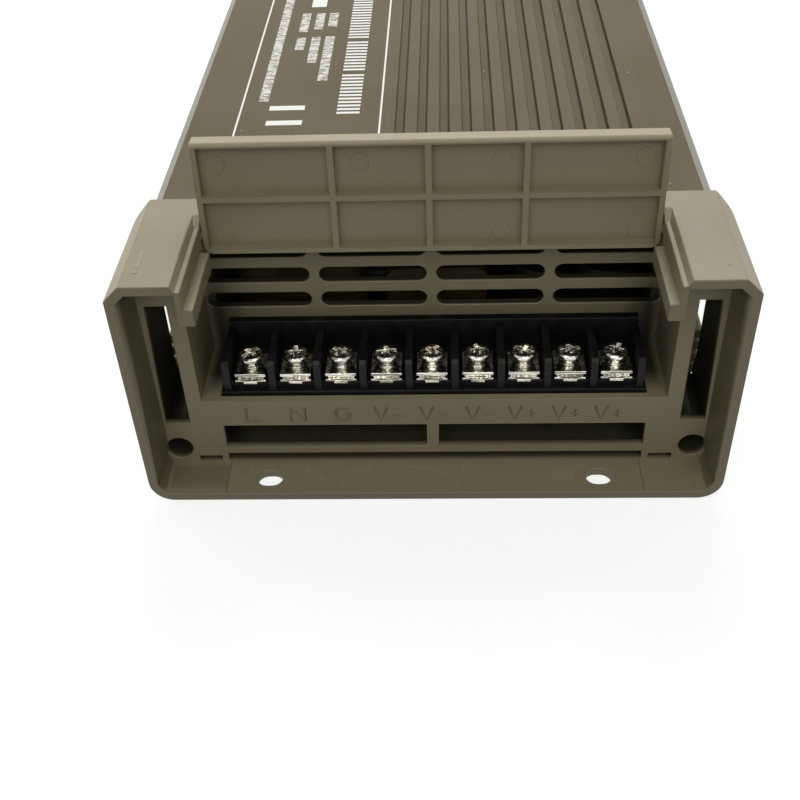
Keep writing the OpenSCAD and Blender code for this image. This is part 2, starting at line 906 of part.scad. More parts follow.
module rear_cap() {
    grille_r = fan_bore_r;
    side_x = fan_size / 2 + vent_web;
    side_l = bay_w / 2 - side_x;
    color([0.50, 0.47, 0.40])
        from_rear()
            difference() {
                union() {
                    difference() {
                        cap_body(rear_cap_d);
                        along_y(-eps, recess_d + eps)
                            cap_outline(cap_wall);
                        along_y(recess_d + panel_t, rear_cap_d)
                            cap_outline(cap_wall);
                    }
                    intersection() {
                        cap_body(rear_cap_d);
                        cap_tubes(rear_cap_d);
                    }
                    recess_wedges();
                }
                cap_tube_holes(rear_cap_d);
                mounting_slots();
                ear_slots(recess_d - eps, panel_t + 2 * eps);
                along_y(recess_d - eps, panel_t + 2 * eps) {
                    intersection() {
                        translate([0, fan_z])
                            circle(r = grille_r);
                        for (i = [-2 : 2])
                            translate([0, fan_z + i * vent_pitch])
                                square([fan_size, vent_h], center = true);
                    }
                    both_sides()
                        for (i = [-1 : 1])
                            translate([side_x + side_l / 2, fan_z + i * vent_pitch])
                                slot(side_l, vent_h);
                }
                fan_screw_spots()
                    bar_y(screw_d / 2 + hole_gap, 0, recess_d - eps, 0, panel_t + 2 * eps);
            }
}

module base_plate() {
    color([0.72, 0.72, 0.70])
        from_front()
            difference() {
                block([-body_w / 2, cap_d, 0], [body_w / 2, shell_y1, base_t]);
                base_screw_spots() {
                    translate([0, 0, -eps])
                        cylinder(d = screw_d + 2 * hole_gap, h = base_t + 2 * eps);
                    translate([0, 0, -eps])
                        cylinder(
                            r1 = screw_head_d / 2 + screw_gap + eps,
                            r2 = screw_d / 2 + screw_gap,
                            h = (screw_head_d - screw_d) / 2 + eps
                        );
                }
            }
}

module front_cap_screws() {
    color([0.70, 0.70, 0.70])
        from_front()
            cap_screws(cap_d);
}

module cap_screws(depth) {
    for (spot = cap_screw_spots)
        translate([spot[0], depth - cap_screw_seat, spot[1]])
            rotate([90, 0, 0])
                pan_screw(screw_d, cap_screw_seat + cap_screw_grip, screw_head_d, screw_head_h);
}

module rear_cap_screws() {
    color([0.70, 0.70, 0.70])
        from_rear()
            cap_screws(rear_cap_d);
}

// Countersunk screws, flush with the underside of the base plate
module base_screws() {
    head_h = (screw_head_d - screw_d) / 2;
    color([0.70, 0.70, 0.70])
        from_front()
            base_screw_spots()
                difference() {
                    union() {
                        cylinder(d1 = screw_head_d, d2 = screw_d, h = head_h);
                        cylinder(d = screw_d, h = base_screw_l);
                    }
                    for (turn = [0, 90])
                        rotate([0, 0, turn])
                            cube([screw_head_d * 0.6, screw_head_d * 0.14, head_h], center = true);
                }
}

module at_ways() {
    for (i = [0 : term_n - 1]) {
        $way = i;
        translate([(i - (term_n - 1) / 2) * term_pitch, 0, 0])
            children();
    }
}

module terminal_block() {
    ways_w = term_n * term_pitch + barrier_t;
    barrier_y = block_y0 + barrier_set;
    barrier_back = block_y1 - eps;
    barrier_z = deck_z + barrier_h;
    color([0.05, 0.05, 0.05])
        from_front()
            difference() {
                union() {
                    block(
                        [-block_w / 2, block_y0, board_top],
                        [block_w / 2, block_y1, bay_floor + block_lip_h]
                    );
                    block(
                        [-ways_w / 2, block_y0 + block_lip_d, board_top],
                        [ways_w / 2, block_y1, deck_z]
                    );
                    block(
                        [-ways_w / 2, block_y1 - block_back_t, deck_z - eps],
                        [ways_w / 2, block_y1, deck_z + block_back_h]
                    );
                    for (i = [0 : term_n])
                        translate([(i - term_n / 2) * term_pitch - barrier_t / 2, 0, 0])
                            rotate([90, 0, 90])
                                linear_extrude(barrier_t)
                                    polygon([
                                        [barrier_y, bay_floor], [barrier_back, bay_floor],
                                        [barrier_back, barrier_z], [barrier_y + barrier_slope_d, barrier_z],
                                        [barrier_y, barrier_z - barrier_slope_h]
                                    ]);
                }
                at_ways()
                    translate([0, term_y, board_top + 2])
                        cylinder(d = term_screw_d + 2 * screw_gap, h = deck_z);
            }
}

// Contact plates that lie on the deck, each with a tongue bent down at the front
module terminal_tabs() {
    front = block_y0 + block_lip_d - tab_t;
    tongue_z = deck_z - tongue_drop;
    color([0.80, 0.79, 0.74])
        from_front()
            at_ways()
                difference() {
                    union() {
                        block(
                            [-clamp_w / 2, front + tab_t, deck_z],
                            [clamp_w / 2, term_y + clamp_w / 2 + tab_margin, clamp_z]
                        );
                        block([-tongue_w / 2, front, tongue_z], [tongue_w / 2, front + tab_t, clamp_z]);
                    }
                    translate([0, term_y, deck_z - eps])
                        cylinder(d = term_screw_d + 2 * screw_gap, h = tab_t + 2 * eps);
                }
}

module clamp_plates() {
    color([0.82, 0.81, 0.76])
        from_front()
            at_ways()
                for (level = [0, 1]) {
                    inset = level == 0 ? clamp_step : 0;
                    side = clamp_w - 2 * inset;
                    translate([0, term_y, clamp_z + level * clamp_t])
                        linear_extrude(clamp_t)
                            difference() {
                                translate([-side / 2, inset - clamp_w / 2 - clamp_nose])
                                    square([side, side + clamp_nose]);
                                circle(d = term_screw_d + 2 * screw_gap);
                            }
                }
}

// A terminal screw along +Z: its washer, neck and flared head stand above z = 0
module binding_screw(length) {
    neck_r = term_screw_d / 2;
    washer_r = neck_r + 0.35;
    washer_t = 0.3;
    neck_top = term_head_h * 0.32;
    rim_r = term_head_d / 2;
    rim_low = term_head_h * 0.6;
    rim_top = term_head_h * 0.84;
    slot_w = term_head_d * 0.16;
    slot_d = term_head_h * 0.6;
    difference() {
        rotate_extrude()
            polygon([
                [0, -length], [neck_r, -length], [neck_r, 0],
                [washer_r, 0], [washer_r, washer_t], [neck_r, washer_t], [neck_r, neck_top],
                [rim_r * 0.94, rim_low], [rim_r, rim_low + washer_t], [rim_r, rim_top],
                [rim_r * 0.84, term_head_h * 0.93], [rim_r * 0.5, term_head_h * 0.985], [0, term_head_h]
            ]);
        translate([0, 0, term_head_h]) {
            cube([term_head_d * 0.78, slot_w, slot_d], center = true);
            cube([slot_w, term_head_d * 0.56, slot_d], center = true);
        }
    }
}

module terminal_screws() {
    color([0.84, 0.83, 0.78])
        from_front()
            at_ways()
                translate([0, term_y, term_head_z])
                    rotate([0, 0, term_turn * ($way + 1)])
                        binding_screw(term_head_z - board_top - 3);
}

module standoff_spots() {
    for (x = [-standoff_x, standoff_x], y = standoff_ys)
        translate([x, y, 0])
            children();
}

module circuit_board() {
    color([0.70, 0.58, 0.33])
        from_front()
            difference() {
                block([-board_w / 2, board_front, board_z], [board_w / 2, board_y1, board_top]);
                standoff_spots()
                    translate([0, 0, board_z - eps])
                        cylinder(d = screw_d + 2 * hole_gap, h = board_t + 2 * eps);
            }
}

module board_standoffs() {
    color([0.78, 0.66, 0.30])
        from_front()
            standoff_spots()
                translate([0, 0, base_t])
                    difference() {
                        cylinder(d = standoff_d, h = standoff_h);
                        translate([0, 0, 1])
                            cylinder(d = screw_d + 2 * screw_gap, h = standoff_h);
                    }
}

module board_screws() {
    color([0.70, 0.70, 0.70])
        from_front()
            standoff_spots()
                translate([0, 0, board_top])
                    pan_screw(screw_d, board_t + standoff_h - 2, screw_head_d, screw_head_h);
}

module insulating_sheet() {
    color([0.85, 0.83, 0.75])
        from_front()
            difference() {
                block(
                    [-(inner_x - flange_w - 0.5), cap_d, base_t],
                    [inner_x - flange_w - 0.5, board_y1, base_t + sheet_t]
                );
                standoff_spots()
                    translate([0, 0, base_t - eps])
                        cylinder(d = standoff_d + 2 * hole_gap, h = sheet_t + 2 * eps);
            }
}

// Stands a part on the board
module on_board(place) {
    from_front()
        translate([place.x, parts_y + place.y, board_top])
            children();
}

// A box on the board, centred on its place
module standing(size) {
    translate([-size.x / 2, -size.y / 2, 0])
        cube(size);
}

// Common mode choke: a square core with two taped windings
module line_choke() {
    winding_d = 13;
    leg_t = 7;
    core = [choke_w - winding_d + leg_t, leg_t, 28];
    base = [choke_w - 2, winding_d + 3, 2.5];
    end_gap = 2;
    color([0.80, 0.66, 0.20])
        on_board(choke_at) {
            standing(base);
            standing(core);
            for (side = [-1, 1])
                translate([side * (core.x - core.y) / 2, 0, base.z - eps])
                    cylinder(d = winding_d, h = core.z - base.z - end_gap);
        }
}

// Box shaped film capacitor with its top and bottom edges rounded
module film_capacitor() {
    size = [22, 12, 22];
    round_d = size.x * 1.3;
    color([0.82, 0.72, 0.22])
        on_board(film_at)
            intersection() {
                standing(size);
                translate([0, 0, size.z / 2])
                    rotate([90, 0, 0])
                        cylinder(d = round_d, h = size.y, center = true);
            }
}

// Glass tube fuse in its two end clips
module fuse() {
    tube_d = 5.2;
    tube_l = 20;
    clip = [5, 6.4, 6.5];
    color([0.80, 0.80, 0.78])
        on_board(fuse_at) {
            translate([-tube_l / 2, 0, clip.z - tube_d / 3])
                rotate([0, 90, 0])
                    cylinder(d = tube_d, h = tube_l);
            for (side = [-1, 1])
                translate([side * (tube_l - clip.x) / 2, 0, 0])
                    standing(clip);
        }
}

// A can with the crossed vent marks of an electrolytic capacitor
module can(d, h, mark) {
    difference() {
        cylinder(d = d, h = h);
        for (turn = [0, 90])
            rotate([0, 0, turn])
                translate([0, 0, h])
                    cube([d * 0.7, mark, mark], center = true);
    }
}

module bulk_capacitors() {
    color([0.13, 0.14, 0.16])
        for (i = [0, 1])
            on_board(bulk_at + [0, i * bulk_pitch])
                can(bulk_d, bulk_h, 0.8);
}

module bridge_rectifier() {
    body = [25, 4, 17];
    lead = [1.2, 1, 4.5];
    lead_pitch = 5.8;
    color([0.10, 0.10, 0.11])
        on_board(bridge_at) {
            translate([0, 0, lead.z - eps])
                standing(body);
            for (i = [-1.5 : 1.5])
                translate([i * lead_pitch, 0, 0])
                    standing(lead);
        }
}

// Core of three limbs and two yokes
module transformer_core() {
    window = [transformer_w / 2 - 2 * core_limb, 2 * core_limb + 2 * eps, transformer_h - 2 * core_limb];
    color([0.16, 0.16, 0.17])
        on_board(transformer_at)
            translate([0, 0, core_z])
                difference() {
                    standing([transformer_w, 2 * core_limb, transformer_h]);
                    both_sides()
                        translate([core_limb + window.x / 2, 0, core_limb])
                            standing(window);
                }
}

// Bobbin and taped winding round the middle limb of the core
module transformer_winding() {
    foot_l = 4;
    width = transformer_w - 2 * core_limb - 2 * winding_gap;
    low = core_z + core_limb + winding_gap;
    rise = transformer_h - 2 * core_limb - 2 * winding_gap;
    hole = 2 * core_limb + 2 * winding_gap;
    color([0.82, 0.70, 0.25])
        on_board(transformer_at)
            difference() {
                union() {
                    translate([0, 0, low])
                        standing([width, transformer_l, rise]);
                    for (side = [-1, 1])
                        translate([0, side * (transformer_l - foot_l) / 2, 0])
                            standing([width, foot_l, low + eps]);
                }
                translate([0, 0, low - eps])
                    standing([hole, hole, rise + 2 * eps]);
            }
}

// Power devices that stand against a side wall of the housing
module wall_devices(side) {
    for (y = device_ys)
        from_front()
            mirror([side < 0 ? 1 : 0, 0, 0]) {
                block(
                    [inner_x - device_t, y - device_w / 2, device_z],
                    [inner_x, y + device_w / 2, device_z + device_h]
                );
                for (leg = [-1, 0, 1])
                    block(
                        [inner_x - device_t + 0.2, y + leg * 5 - 0.6, board_top],
                        [inner_x - device_t + 0.9, y + leg * 5 + 0.6, device_z + eps]
                    );
            }
}

module switching_transistors() {
    color([0.11, 0.11, 0.12])
        wall_devices(-1);
}

module output_rectifiers() {
    color([0.11, 0.11, 0.12])
        wall_devices(1);
}

// Bars that press the power devices against the side walls
module clamp_bars() {
    low_y = device_ys[0] - device_w / 2;
    high_y = device_ys[1] + device_w / 2;
    color([0.75, 0.75, 0.73])
        from_front()
            difference() {
                both_sides()
                    block(
                        [clamp_bar_x, low_y, clamp_bar_z - clamp_bar_h / 2],
                        [clamp_bar_x + clamp_bar_t, high_y, clamp_bar_z + clamp_bar_h / 2]
                    );
                clamp_screw_spots()
                    translate([0, 0, -clamp_bar_t - eps])
                        cylinder(d = screw_d + 2 * hole_gap, h = clamp_bar_t + 2 * eps);
            }
}

module clamp_bar_screws() {
    color([0.70, 0.70, 0.70])
        from_front()
            clamp_screw_spots()
                pan_screw(screw_d, wall_x - clamp_bar_x - 0.2, screw_head_d, screw_head_h);
}

// Ring choke that lies flat on its holder
module output_choke() {
    ring_r = 8.5;
    wound_d = 10;
    holder_d = 15;
    holder_h = 4;
    color([0.72, 0.42, 0.20])
        on_board(ring_at) {
            translate([0, 0, holder_h + wound_d / 3])
                rotate_extrude()
                    translate([ring_r, 0])
                        circle(d = wound_d);
            cylinder(d = holder_d, h = holder_h);
        }
}

module output_capacitors() {
    output_h = 22;
    color([0.12, 0.17, 0.14])
        for (column = [0, 1], row = [0, 1])
            on_board(output_at + output_pitch * [-column, row])
                can(output_d, output_h, 0.6);
}

// Small upright board with the controller
module control_board() {
    card = [36, 1.6, 18];
    chip = [10, 1.7, 4];
    chip_z = 7;
    color([0.20, 0.42, 0.24])
        on_board(control_at) {
            standing(card);
            translate([0, -(card.y + chip.y) / 2 + eps, chip_z])
                standing(chip);
        }
}

// Places a fan part: z = 0 at the face on the rear panel, +z into the housing
module in_fan() {
    from_rear()
        translate([0, recess_d + panel_t, fan_z])
            rotate([-90, 0, 0])
                children();
}

module fan_screw_spots() {
    for (x = [-1, 1], z = [-1, 1])
        translate([x * fan_hole_pitch / 2, 0, fan_z + z * fan_hole_pitch / 2])
            children();
}

module fan_frame() {
    strut_y = fan_d - fan_base_t;
    corner_r = 3;
    color([0.09, 0.09, 0.10])
        in_fan()
            difference() {
                union() {
                    linear_extrude(fan_d)
                        difference() {
                            rounded_square(fan_size, corner_r);
                            circle(r = fan_bore_r);
                        }
                    translate([0, 0, strut_y])
                        cylinder(r = fan_hub_r, h = fan_base_t);
                    for (turn = [45 : 90 : 315])
                        rotate([0, 0, turn])
                            translate([0, -fan_strut_w / 2, strut_y])
                                cube([fan_bore_r + fan_wall / 2, fan_strut_w, fan_base_t]);
                    translate([0, 0, fan_boss_y])
                        cylinder(r = fan_boss_r, h = strut_y - fan_boss_y + eps);
                }
                translate([0, 0, fan_boss_y - eps])
                    cylinder(r = fan_bearing_r, h = fan_bearing_l + eps);
                for (x = [-1, 1], y = [-1, 1])
                    translate([x * fan_hole_pitch / 2, y * fan_hole_pitch / 2, -eps])
                        cylinder(d = screw_d + 2 * screw_gap, h = fan_d + 2 * eps);
            }
}

// Coils round the boss of the fan frame
module fan_stator() {
    coil_y = fan_boss_y + 2;
    color([0.70, 0.40, 0.20])
        in_fan()
            translate([0, 0, coil_y])
                difference() {
                    cylinder(r = fan_hub_r - fan_rim_t - fan_end_gap, h = fan_d - fan_base_t - coil_y);
                    translate([0, 0, -eps])
                        cylinder(r = fan_boss_r, h = fan_d);
                }
}

// Cup shaped hub with its shaft and blades
module fan_rotor() {
    hub_h = fan_d - fan_base_t - fan_rotor_y - fan_end_gap;
    tip_r = fan_bore_r - fan_tip_gap;
    color([0.10, 0.10, 0.11])
        in_fan()
            translate([0, 0, fan_rotor_y]) {
                difference() {
                    cylinder(r = fan_hub_r, h = hub_h);
                    translate([0, 0, fan_cup_t])
                        cylinder(r = fan_hub_r - fan_rim_t, h = hub_h);
                }
                cylinder(r = fan_shaft_r, h = fan_boss_y + fan_bearing_l - fan_rotor_y);
                intersection() {
                    difference() {
                        cylinder(r = tip_r, h = hub_h);
                        translate([0, 0, -eps])
                            cylinder(r = fan_hub_r - fan_rim_t / 2, h = hub_h + 2 * eps);
                    }
                    for (i = [0 : fan_blades - 1])
                        rotate([0, 0, i * 360 / fan_blades])
                            translate([0, 0, hub_h / 2])
                                rotate([fan_blade_angle, 0, 0])
                                    translate([0, -hub_h, -fan_blade_t / 2])
                                        cube([fan_bore_r, 2 * hub_h, fan_blade_t]);
                }
            }
}

module fan_bearing() {
    color([0.72, 0.60, 0.32])
        in_fan()
            translate([0, 0, fan_boss_y])
                difference() {
                    cylinder(r = fan_bearing_r, h = fan_bearing_l);
                    translate([0, 0, -eps])
                        cylinder(r = fan_shaft_r + fan_shaft_gap, h = fan_bearing_l + 2 * eps);
                }
}

module fan_screws() {
    color([0.70, 0.70, 0.70])
        from_rear()
            fan_screw_spots()
                translate([0, recess_d, 0])
                    rotate([90, 0, 0])
                        pan_screw(screw_d, panel_t + fan_screw_grip, screw_head_d, screw_head_h);
}

front_cap();
terminal_cover();
housing_shell();
rear_cap();
base_plate();
front_cap_screws();
rear_cap_screws();
base_screws();
terminal_block();
terminal_tabs();
clamp_plates();
terminal_screws();
circuit_board();
board_standoffs();
board_screws();
insulating_sheet();
line_choke();
film_capacitor();
fuse();
bulk_capacitors();
bridge_rectifier();
transformer_core();
transformer_winding();
switching_transistors();
output_rectifiers();
clamp_bars();
clamp_bar_screws();
output_choke();
output_capacitors();
control_board();
fan_frame();
fan_stator();
fan_rotor();
fan_bearing();
fan_screws();
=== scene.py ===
"""Looks of the rainproof power supply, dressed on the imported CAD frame. All lengths are in metres."""

import json
import math

import bmesh
import bpy
from mathutils import Color, Matrix, Vector


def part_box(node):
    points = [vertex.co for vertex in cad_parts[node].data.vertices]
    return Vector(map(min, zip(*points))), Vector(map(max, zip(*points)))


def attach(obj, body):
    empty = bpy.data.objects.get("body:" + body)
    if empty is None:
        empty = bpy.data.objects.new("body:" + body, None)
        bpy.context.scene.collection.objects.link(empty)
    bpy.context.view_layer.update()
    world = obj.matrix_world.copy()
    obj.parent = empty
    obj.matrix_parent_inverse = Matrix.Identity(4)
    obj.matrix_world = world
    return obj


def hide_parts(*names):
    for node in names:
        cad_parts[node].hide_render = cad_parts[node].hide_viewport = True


MM = 0.001


def mm(*lengths):
    """Lengths written in millimetres, in metres."""
    return tuple(length * MM for length in lengths)


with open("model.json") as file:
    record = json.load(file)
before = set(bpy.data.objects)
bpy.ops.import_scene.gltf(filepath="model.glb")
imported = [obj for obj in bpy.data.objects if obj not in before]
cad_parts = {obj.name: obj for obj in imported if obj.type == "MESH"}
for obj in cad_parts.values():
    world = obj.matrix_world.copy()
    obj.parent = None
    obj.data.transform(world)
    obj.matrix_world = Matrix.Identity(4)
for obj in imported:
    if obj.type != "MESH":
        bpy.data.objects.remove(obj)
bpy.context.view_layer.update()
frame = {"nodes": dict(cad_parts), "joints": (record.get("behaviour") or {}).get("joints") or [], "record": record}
scene = bpy.context.scene

# Places on the object, worked out from the boxes of its CAD nodes
CAP_LOW, CAP_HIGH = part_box("front_cap")
SHELL_LOW, SHELL_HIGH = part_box("housing_shell")
BLOCK_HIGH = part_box("terminal_block")[1]
COVER_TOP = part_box("terminal_cover")[1].z
RECESS_FLOOR = CAP_LOW.z + 2 * MM
PANEL_Y = CAP_LOW.y + 10 * MM
BAY_FRONT = PANEL_Y + 1.8 * MM
BAY_REAR = BLOCK_HIGH.y + 2.5 * MM
BAY_HALF = BLOCK_HIGH.x + 4.2 * MM
BAY_FLOOR = CAP_LOW.z + 19.2 * MM
SEAM_X = 44 * MM


# Colours


def linear(red, green, blue):
    """An sRGB colour, 0 to 255 a channel, as the linear RGBA that a socket takes."""
    colour = Color((red / 255, green / 255, blue / 255))
    return (*colour.from_srgb_to_scene_linear(), 1.0)


def shade(colour, factor):
    """A colour made darker or paler by a factor."""
    return tuple(min(1.0, c * factor) for c in colour[:3]) + (1.0,)


PLASTIC = linear(134, 126, 99)
PLASTIC_DUST = linear(205, 200, 185)
PAINT = linear(97, 89, 68)
PAINT_DUST = linear(196, 192, 182)
PAINT_PITS = linear(48, 44, 38)
# Light grey of the painted reflection on the housing's side chamfers
CHAMFER_REFLECTION = linear(176, 176, 168)
WHITE_INK = linear(232, 231, 226)
THIN_INK = linear(170, 165, 152)
HATCH_INK = linear(214, 212, 204)
HATCH_GAPS = linear(112, 105, 88)
PHENOLIC = linear(13, 12, 13)
PHENOLIC_SMEARS = linear(26, 26, 28)
PHENOLIC_DUST = linear(120, 120, 124)
NICKEL = linear(236, 232, 220)


# Materials

# Most of a noise's values lie in NOISE_RANGE, and a Wave node makes BANDS_A_UNIT bands in a unit
NOISE_ROUGHNESS = 0.55
NOISE_RANGE = (0.3, 0.7)
BANDS_A_UNIT = 3.2

# Colour sockets of a Mix node, which share their names with its other sockets
MIX_FROM, MIX_TO, MIX_RESULT = 6, 7, 2


class Finish:
    """A Principled material being built, with short ways to add the nodes it uses."""

    def __init__(self, name, colour, roughness, metallic=0.0, specular=0.5):
        self.material = bpy.data.materials.new(name)
        self.material.use_nodes = True
        self.material.diffuse_color = colour
        self.nodes = self.material.node_tree.nodes
        self.links = self.material.node_tree.links
        self.shader = self.nodes["Principled BSDF"]
        self.shader.inputs["Metallic"].default_value = metallic
        self.shader.inputs["Specular IOR Level"].default_value = specular
        self.shader.inputs["Roughness"].default_value = roughness
        self.shader.inputs["Base Color"].default_value = colour
        self.place = self.nodes.new("ShaderNodeTexCoord").outputs["Object"]
        self.colour = colour
        self.normal = None

    def stretched(self, scale):
        """Object coordinates scaled along each axis, for lines that run one way."""
        mapping = self.nodes.new("ShaderNodeMapping")
        mapping.inputs["Scale"].default_value = scale
        self.links.new(self.place, mapping.inputs["Vector"])
        return mapping.outputs["Vector"]

    def noise(self, size, detail=3.0, place=None):
        """Noise whose blobs are about this size in metres."""
        node = self.nodes.new("ShaderNodeTexNoise")
        node.inputs["Scale"].default_value = 1 / size
        node.inputs["Detail"].default_value = detail
        node.inputs["Roughness"].default_value = NOISE_ROUGHNESS
        self.links.new(place or self.place, node.inputs["Vector"])
        return node.outputs["Fac"]

    def spots(self, size):
        """Distance to the nearest of random points this far apart."""
        node = self.nodes.new("ShaderNodeTexVoronoi")
        node.inputs["Scale"].default_value = 1 / size
        self.links.new(self.place, node.inputs["Vector"])
        return node.outputs["Distance"]

    def bands(self, size, axis, distortion=0.0):
        """Parallel bands across an axis, for windings and weaves."""
        node = self.nodes.new("ShaderNodeTexWave")
        node.bands_direction = axis
        node.inputs["Scale"].default_value = 1 / (size * BANDS_A_UNIT)
        node.inputs["Distortion"].default_value = distortion
        self.links.new(self.place, node.inputs["Vector"])
        return node.outputs["Fac"]

    def bricks(self, size, joint):
        """Lines round blocks of a size, for the tracks of a board."""
        node = self.nodes.new("ShaderNodeTexBrick")
        node.inputs["Scale"].default_value = 1 / size
        node.inputs["Mortar Size"].default_value = joint
        self.links.new(self.place, node.inputs["Vector"])
        return node.outputs["Fac"]

    def along(self, axis):
        """Object coordinate along an axis."""
        node = self.nodes.new("ShaderNodeSeparateXYZ")
        self.links.new(self.place, node.inputs["Vector"])
        return node.outputs[axis]

    def facing(self, axis):
        """How far the surface faces along one of the object's own axes, from -1 to 1."""
        normal = self.nodes.new("ShaderNodeTexCoord").outputs["Normal"]
        node = self.nodes.new("ShaderNodeSeparateXYZ")
        self.links.new(normal, node.inputs["Vector"])
        return node.outputs[axis]

    def calculate(self, operation, *values):
        """A Math node's result for values that are sockets or plain numbers."""
        node = self.nodes.new("ShaderNodeMath")
        node.operation = operation
        for socket, value in zip(node.inputs, values):
            if isinstance(value, (int, float)):
                socket.default_value = value
            else:
                self.links.new(value, socket)
        return node.outputs["Value"]

    def times(self, a, b):
        """The product of two values."""
        return self.calculate("MULTIPLY", a, b)

    def size_of(self, value):
        """A value without its sign, for what is alike on both sides."""
        return self.calculate("ABSOLUTE", value)

    def since(self, value, start, pitch):
        """How far a value is past the last of evenly spaced places."""
        return self.calculate("FLOORED_MODULO", self.calculate("SUBTRACT", value, start), pitch)

    def span(self, value, low, high, to_low=0.0, to_high=1.0):
        """A value's stretch from low to high, spread over another and clamped to it."""
        node = self.nodes.new("ShaderNodeMapRange")
        node.inputs["From Min"].default_value = low
        node.inputs["From Max"].default_value = high
        node.inputs["To Min"].default_value = to_low
        node.inputs["To Max"].default_value = to_high
        self.links.new(value, node.inputs["Value"])
        return node.outputs["Result"]

    def between(self, value, low, high, soft):
        """1 between two limits, falling to 0 over a soft margin inside each."""
        return self.times(
            self.span(value, low, low + soft),
            self.span(value, high, high - soft),
        )

    def tint(self, amount, colour):
        """Blends the colour so far towards another by an amount between 0 and 1."""
        node = self.nodes.new("ShaderNodeMix")
        node.data_type = "RGBA"
        self.links.new(amount, node.inputs["Factor"])
        if isinstance(self.colour, tuple):
            node.inputs[MIX_FROM].default_value = self.colour
        else:
            self.links.new(self.colour, node.inputs[MIX_FROM])
        node.inputs[MIX_TO].default_value = colour
        self.colour = node.outputs[MIX_RESULT]
        self.links.new(self.colour, self.shader.inputs["Base Color"])

    def mottle(self, value, low, high, amount, colour):
        """Blends towards a colour, from nothing where a value is low to an amount where it is high."""
        self.tint(self.span(value, low, high, 0.0, amount), colour)

    def specks(self, apart, radius, patch, shown, amount, colour):
        """Specks this far apart, each fading over a share of that, where a broad noise shows them."""
        dots = self.span(self.spots(apart), *radius)
        patches = self.span(self.noise(patch, detail=1), *shown, 0.0, amount)
        self.tint(self.times(dots, patches), colour)

    def rough(self, value, low, high):
        """Roughness that follows a noise."""
        self.links.new(self.span(value, *NOISE_RANGE, low, high), self.shader.inputs["Roughness"])

    def bump(self, height, distance, strength):
        """Fine relief that follows a height, on top of any relief so far."""
        node = self.nodes.new("ShaderNodeBump")
        node.inputs["Strength"].default_value = strength
        node.inputs["Distance"].default_value = distance
        self.links.new(height, node.inputs["Height"])
        if self.normal is not None:
            self.links.new(self.normal, node.inputs["Normal"])
        self.normal = node.outputs["Normal"]
        self.links.new(self.normal, self.shader.inputs["Normal"])


# Zones of the front cap that take painted shade, alike on both sides, with the margin that they fade over
FADE = 0.1 * MM
DEEP_SHADE = 0.16
BEHIND_PANEL = (PANEL_Y + 0.1 * MM, PANEL_Y + 1.4 * MM)
HOLLOW_LOW = CAP_LOW.z + 1.8 * MM
EAR_HOLLOW_X = (BAY_HALF + 1.95 * MM, CAP_HIGH.x - 1.8 * MM)
EAR_HOLLOW_TOP = CAP_HIGH.z - 1.9 * MM
DUCT_TOP = BAY_FLOOR - 1 * MM
DUCT_SHADE = 0.3
BEHIND_VENTS = (BAY_REAR + 0.1 * MM, BAY_REAR + 0.5 * MM)
VENTS_HALF = BAY_HALF - 0.15 * MM
VENTS_Z = (BAY_FLOOR + 0.8 * MM, CAP_HIGH.z - 3 * MM)

# The bay's corners beside the terminal block, which take painted shade: each pair runs from no shade to full shade
CORNER_OUTER = (BAY_HALF + 0.85 * MM, BAY_HALF - 1.75 * MM)
CORNER_INNER = (BLOCK_HIGH.x - 4.15 * MM, BLOCK_HIGH.x + 1.85 * MM)
CORNER_Y = (BAY_FRONT, BAY_FRONT + 7.2 * MM)
CORNER_Z = (BLOCK_HIGH.z + 10.5 * MM, BLOCK_HIGH.z + 1.5 * MM)
CORNER_SHADE = 0.1

# The recess in front of the panel, whose sides take painted shade, and the rim round it
SIDE_X = (CAP_HIGH.x - 3.4 * MM, CAP_HIGH.x - 1.6 * MM)
SIDE_Y = (CAP_LOW.y + 0.4 * MM, PANEL_Y)
SIDE_Y_FADE = 0.4 * MM
SIDE_Z = (CAP_LOW.z + 2.4 * MM, CAP_HIGH.z - 3.4 * MM)
SIDE_Z_FADE = 0.3 * MM
SIDE_SHADE = 0.62
RIM_Y = (CAP_LOW.y + 0.45 * MM, CAP_LOW.y + 0.15 * MM)
RIM_SHADE = 0.78
FLOOR_Y = (CAP_LOW.y + 1 * MM, PANEL_Y + 0.2 * MM)
FLOOR_Y_FADE = 2.5 * MM
FLOOR_Z = (RECESS_FLOOR - 1 * MM, RECESS_FLOOR + 0.3 * MM)

# The painted highlight along the cover's top edge
COVER_RIM = 0.75 * MM
HIGHLIGHT_FADE = 0.3 * MM
HIGHLIGHT_TONE = 1.32


def darken_hollows(finish, base):
    """Painted shade for the front cap's hollows, which are open only through slots in its panel."""
    apart = finish.size_of(finish.along("X"))
    behind_panel = finish.span(finish.along("Y"), *BEHIND_PANEL)
    ears = finish.times(
        finish.between(apart, *EAR_HOLLOW_X, FADE),
        finish.between(finish.along("Z"), HOLLOW_LOW, EAR_HOLLOW_TOP, FADE),
    )
    finish.tint(finish.times(behind_panel, ears), shade(base, DEEP_SHADE))
    duct = finish.times(
        finish.span(apart, EAR_HOLLOW_X[0] + FADE, EAR_HOLLOW_X[0]),
        finish.between(finish.along("Z"), HOLLOW_LOW, DUCT_TOP, FADE),
    )
    finish.tint(finish.times(behind_panel, duct), shade(base, DUCT_SHADE))
    vents = finish.times(
        finish.span(apart, VENTS_HALF + FADE, VENTS_HALF),
        finish.between(finish.along("Z"), *VENTS_Z, FADE),
    )
    behind_vents = finish.span(finish.along("Y"), *BEHIND_VENTS)
    finish.tint(finish.times(behind_vents, vents), shade(base, DEEP_SHADE))


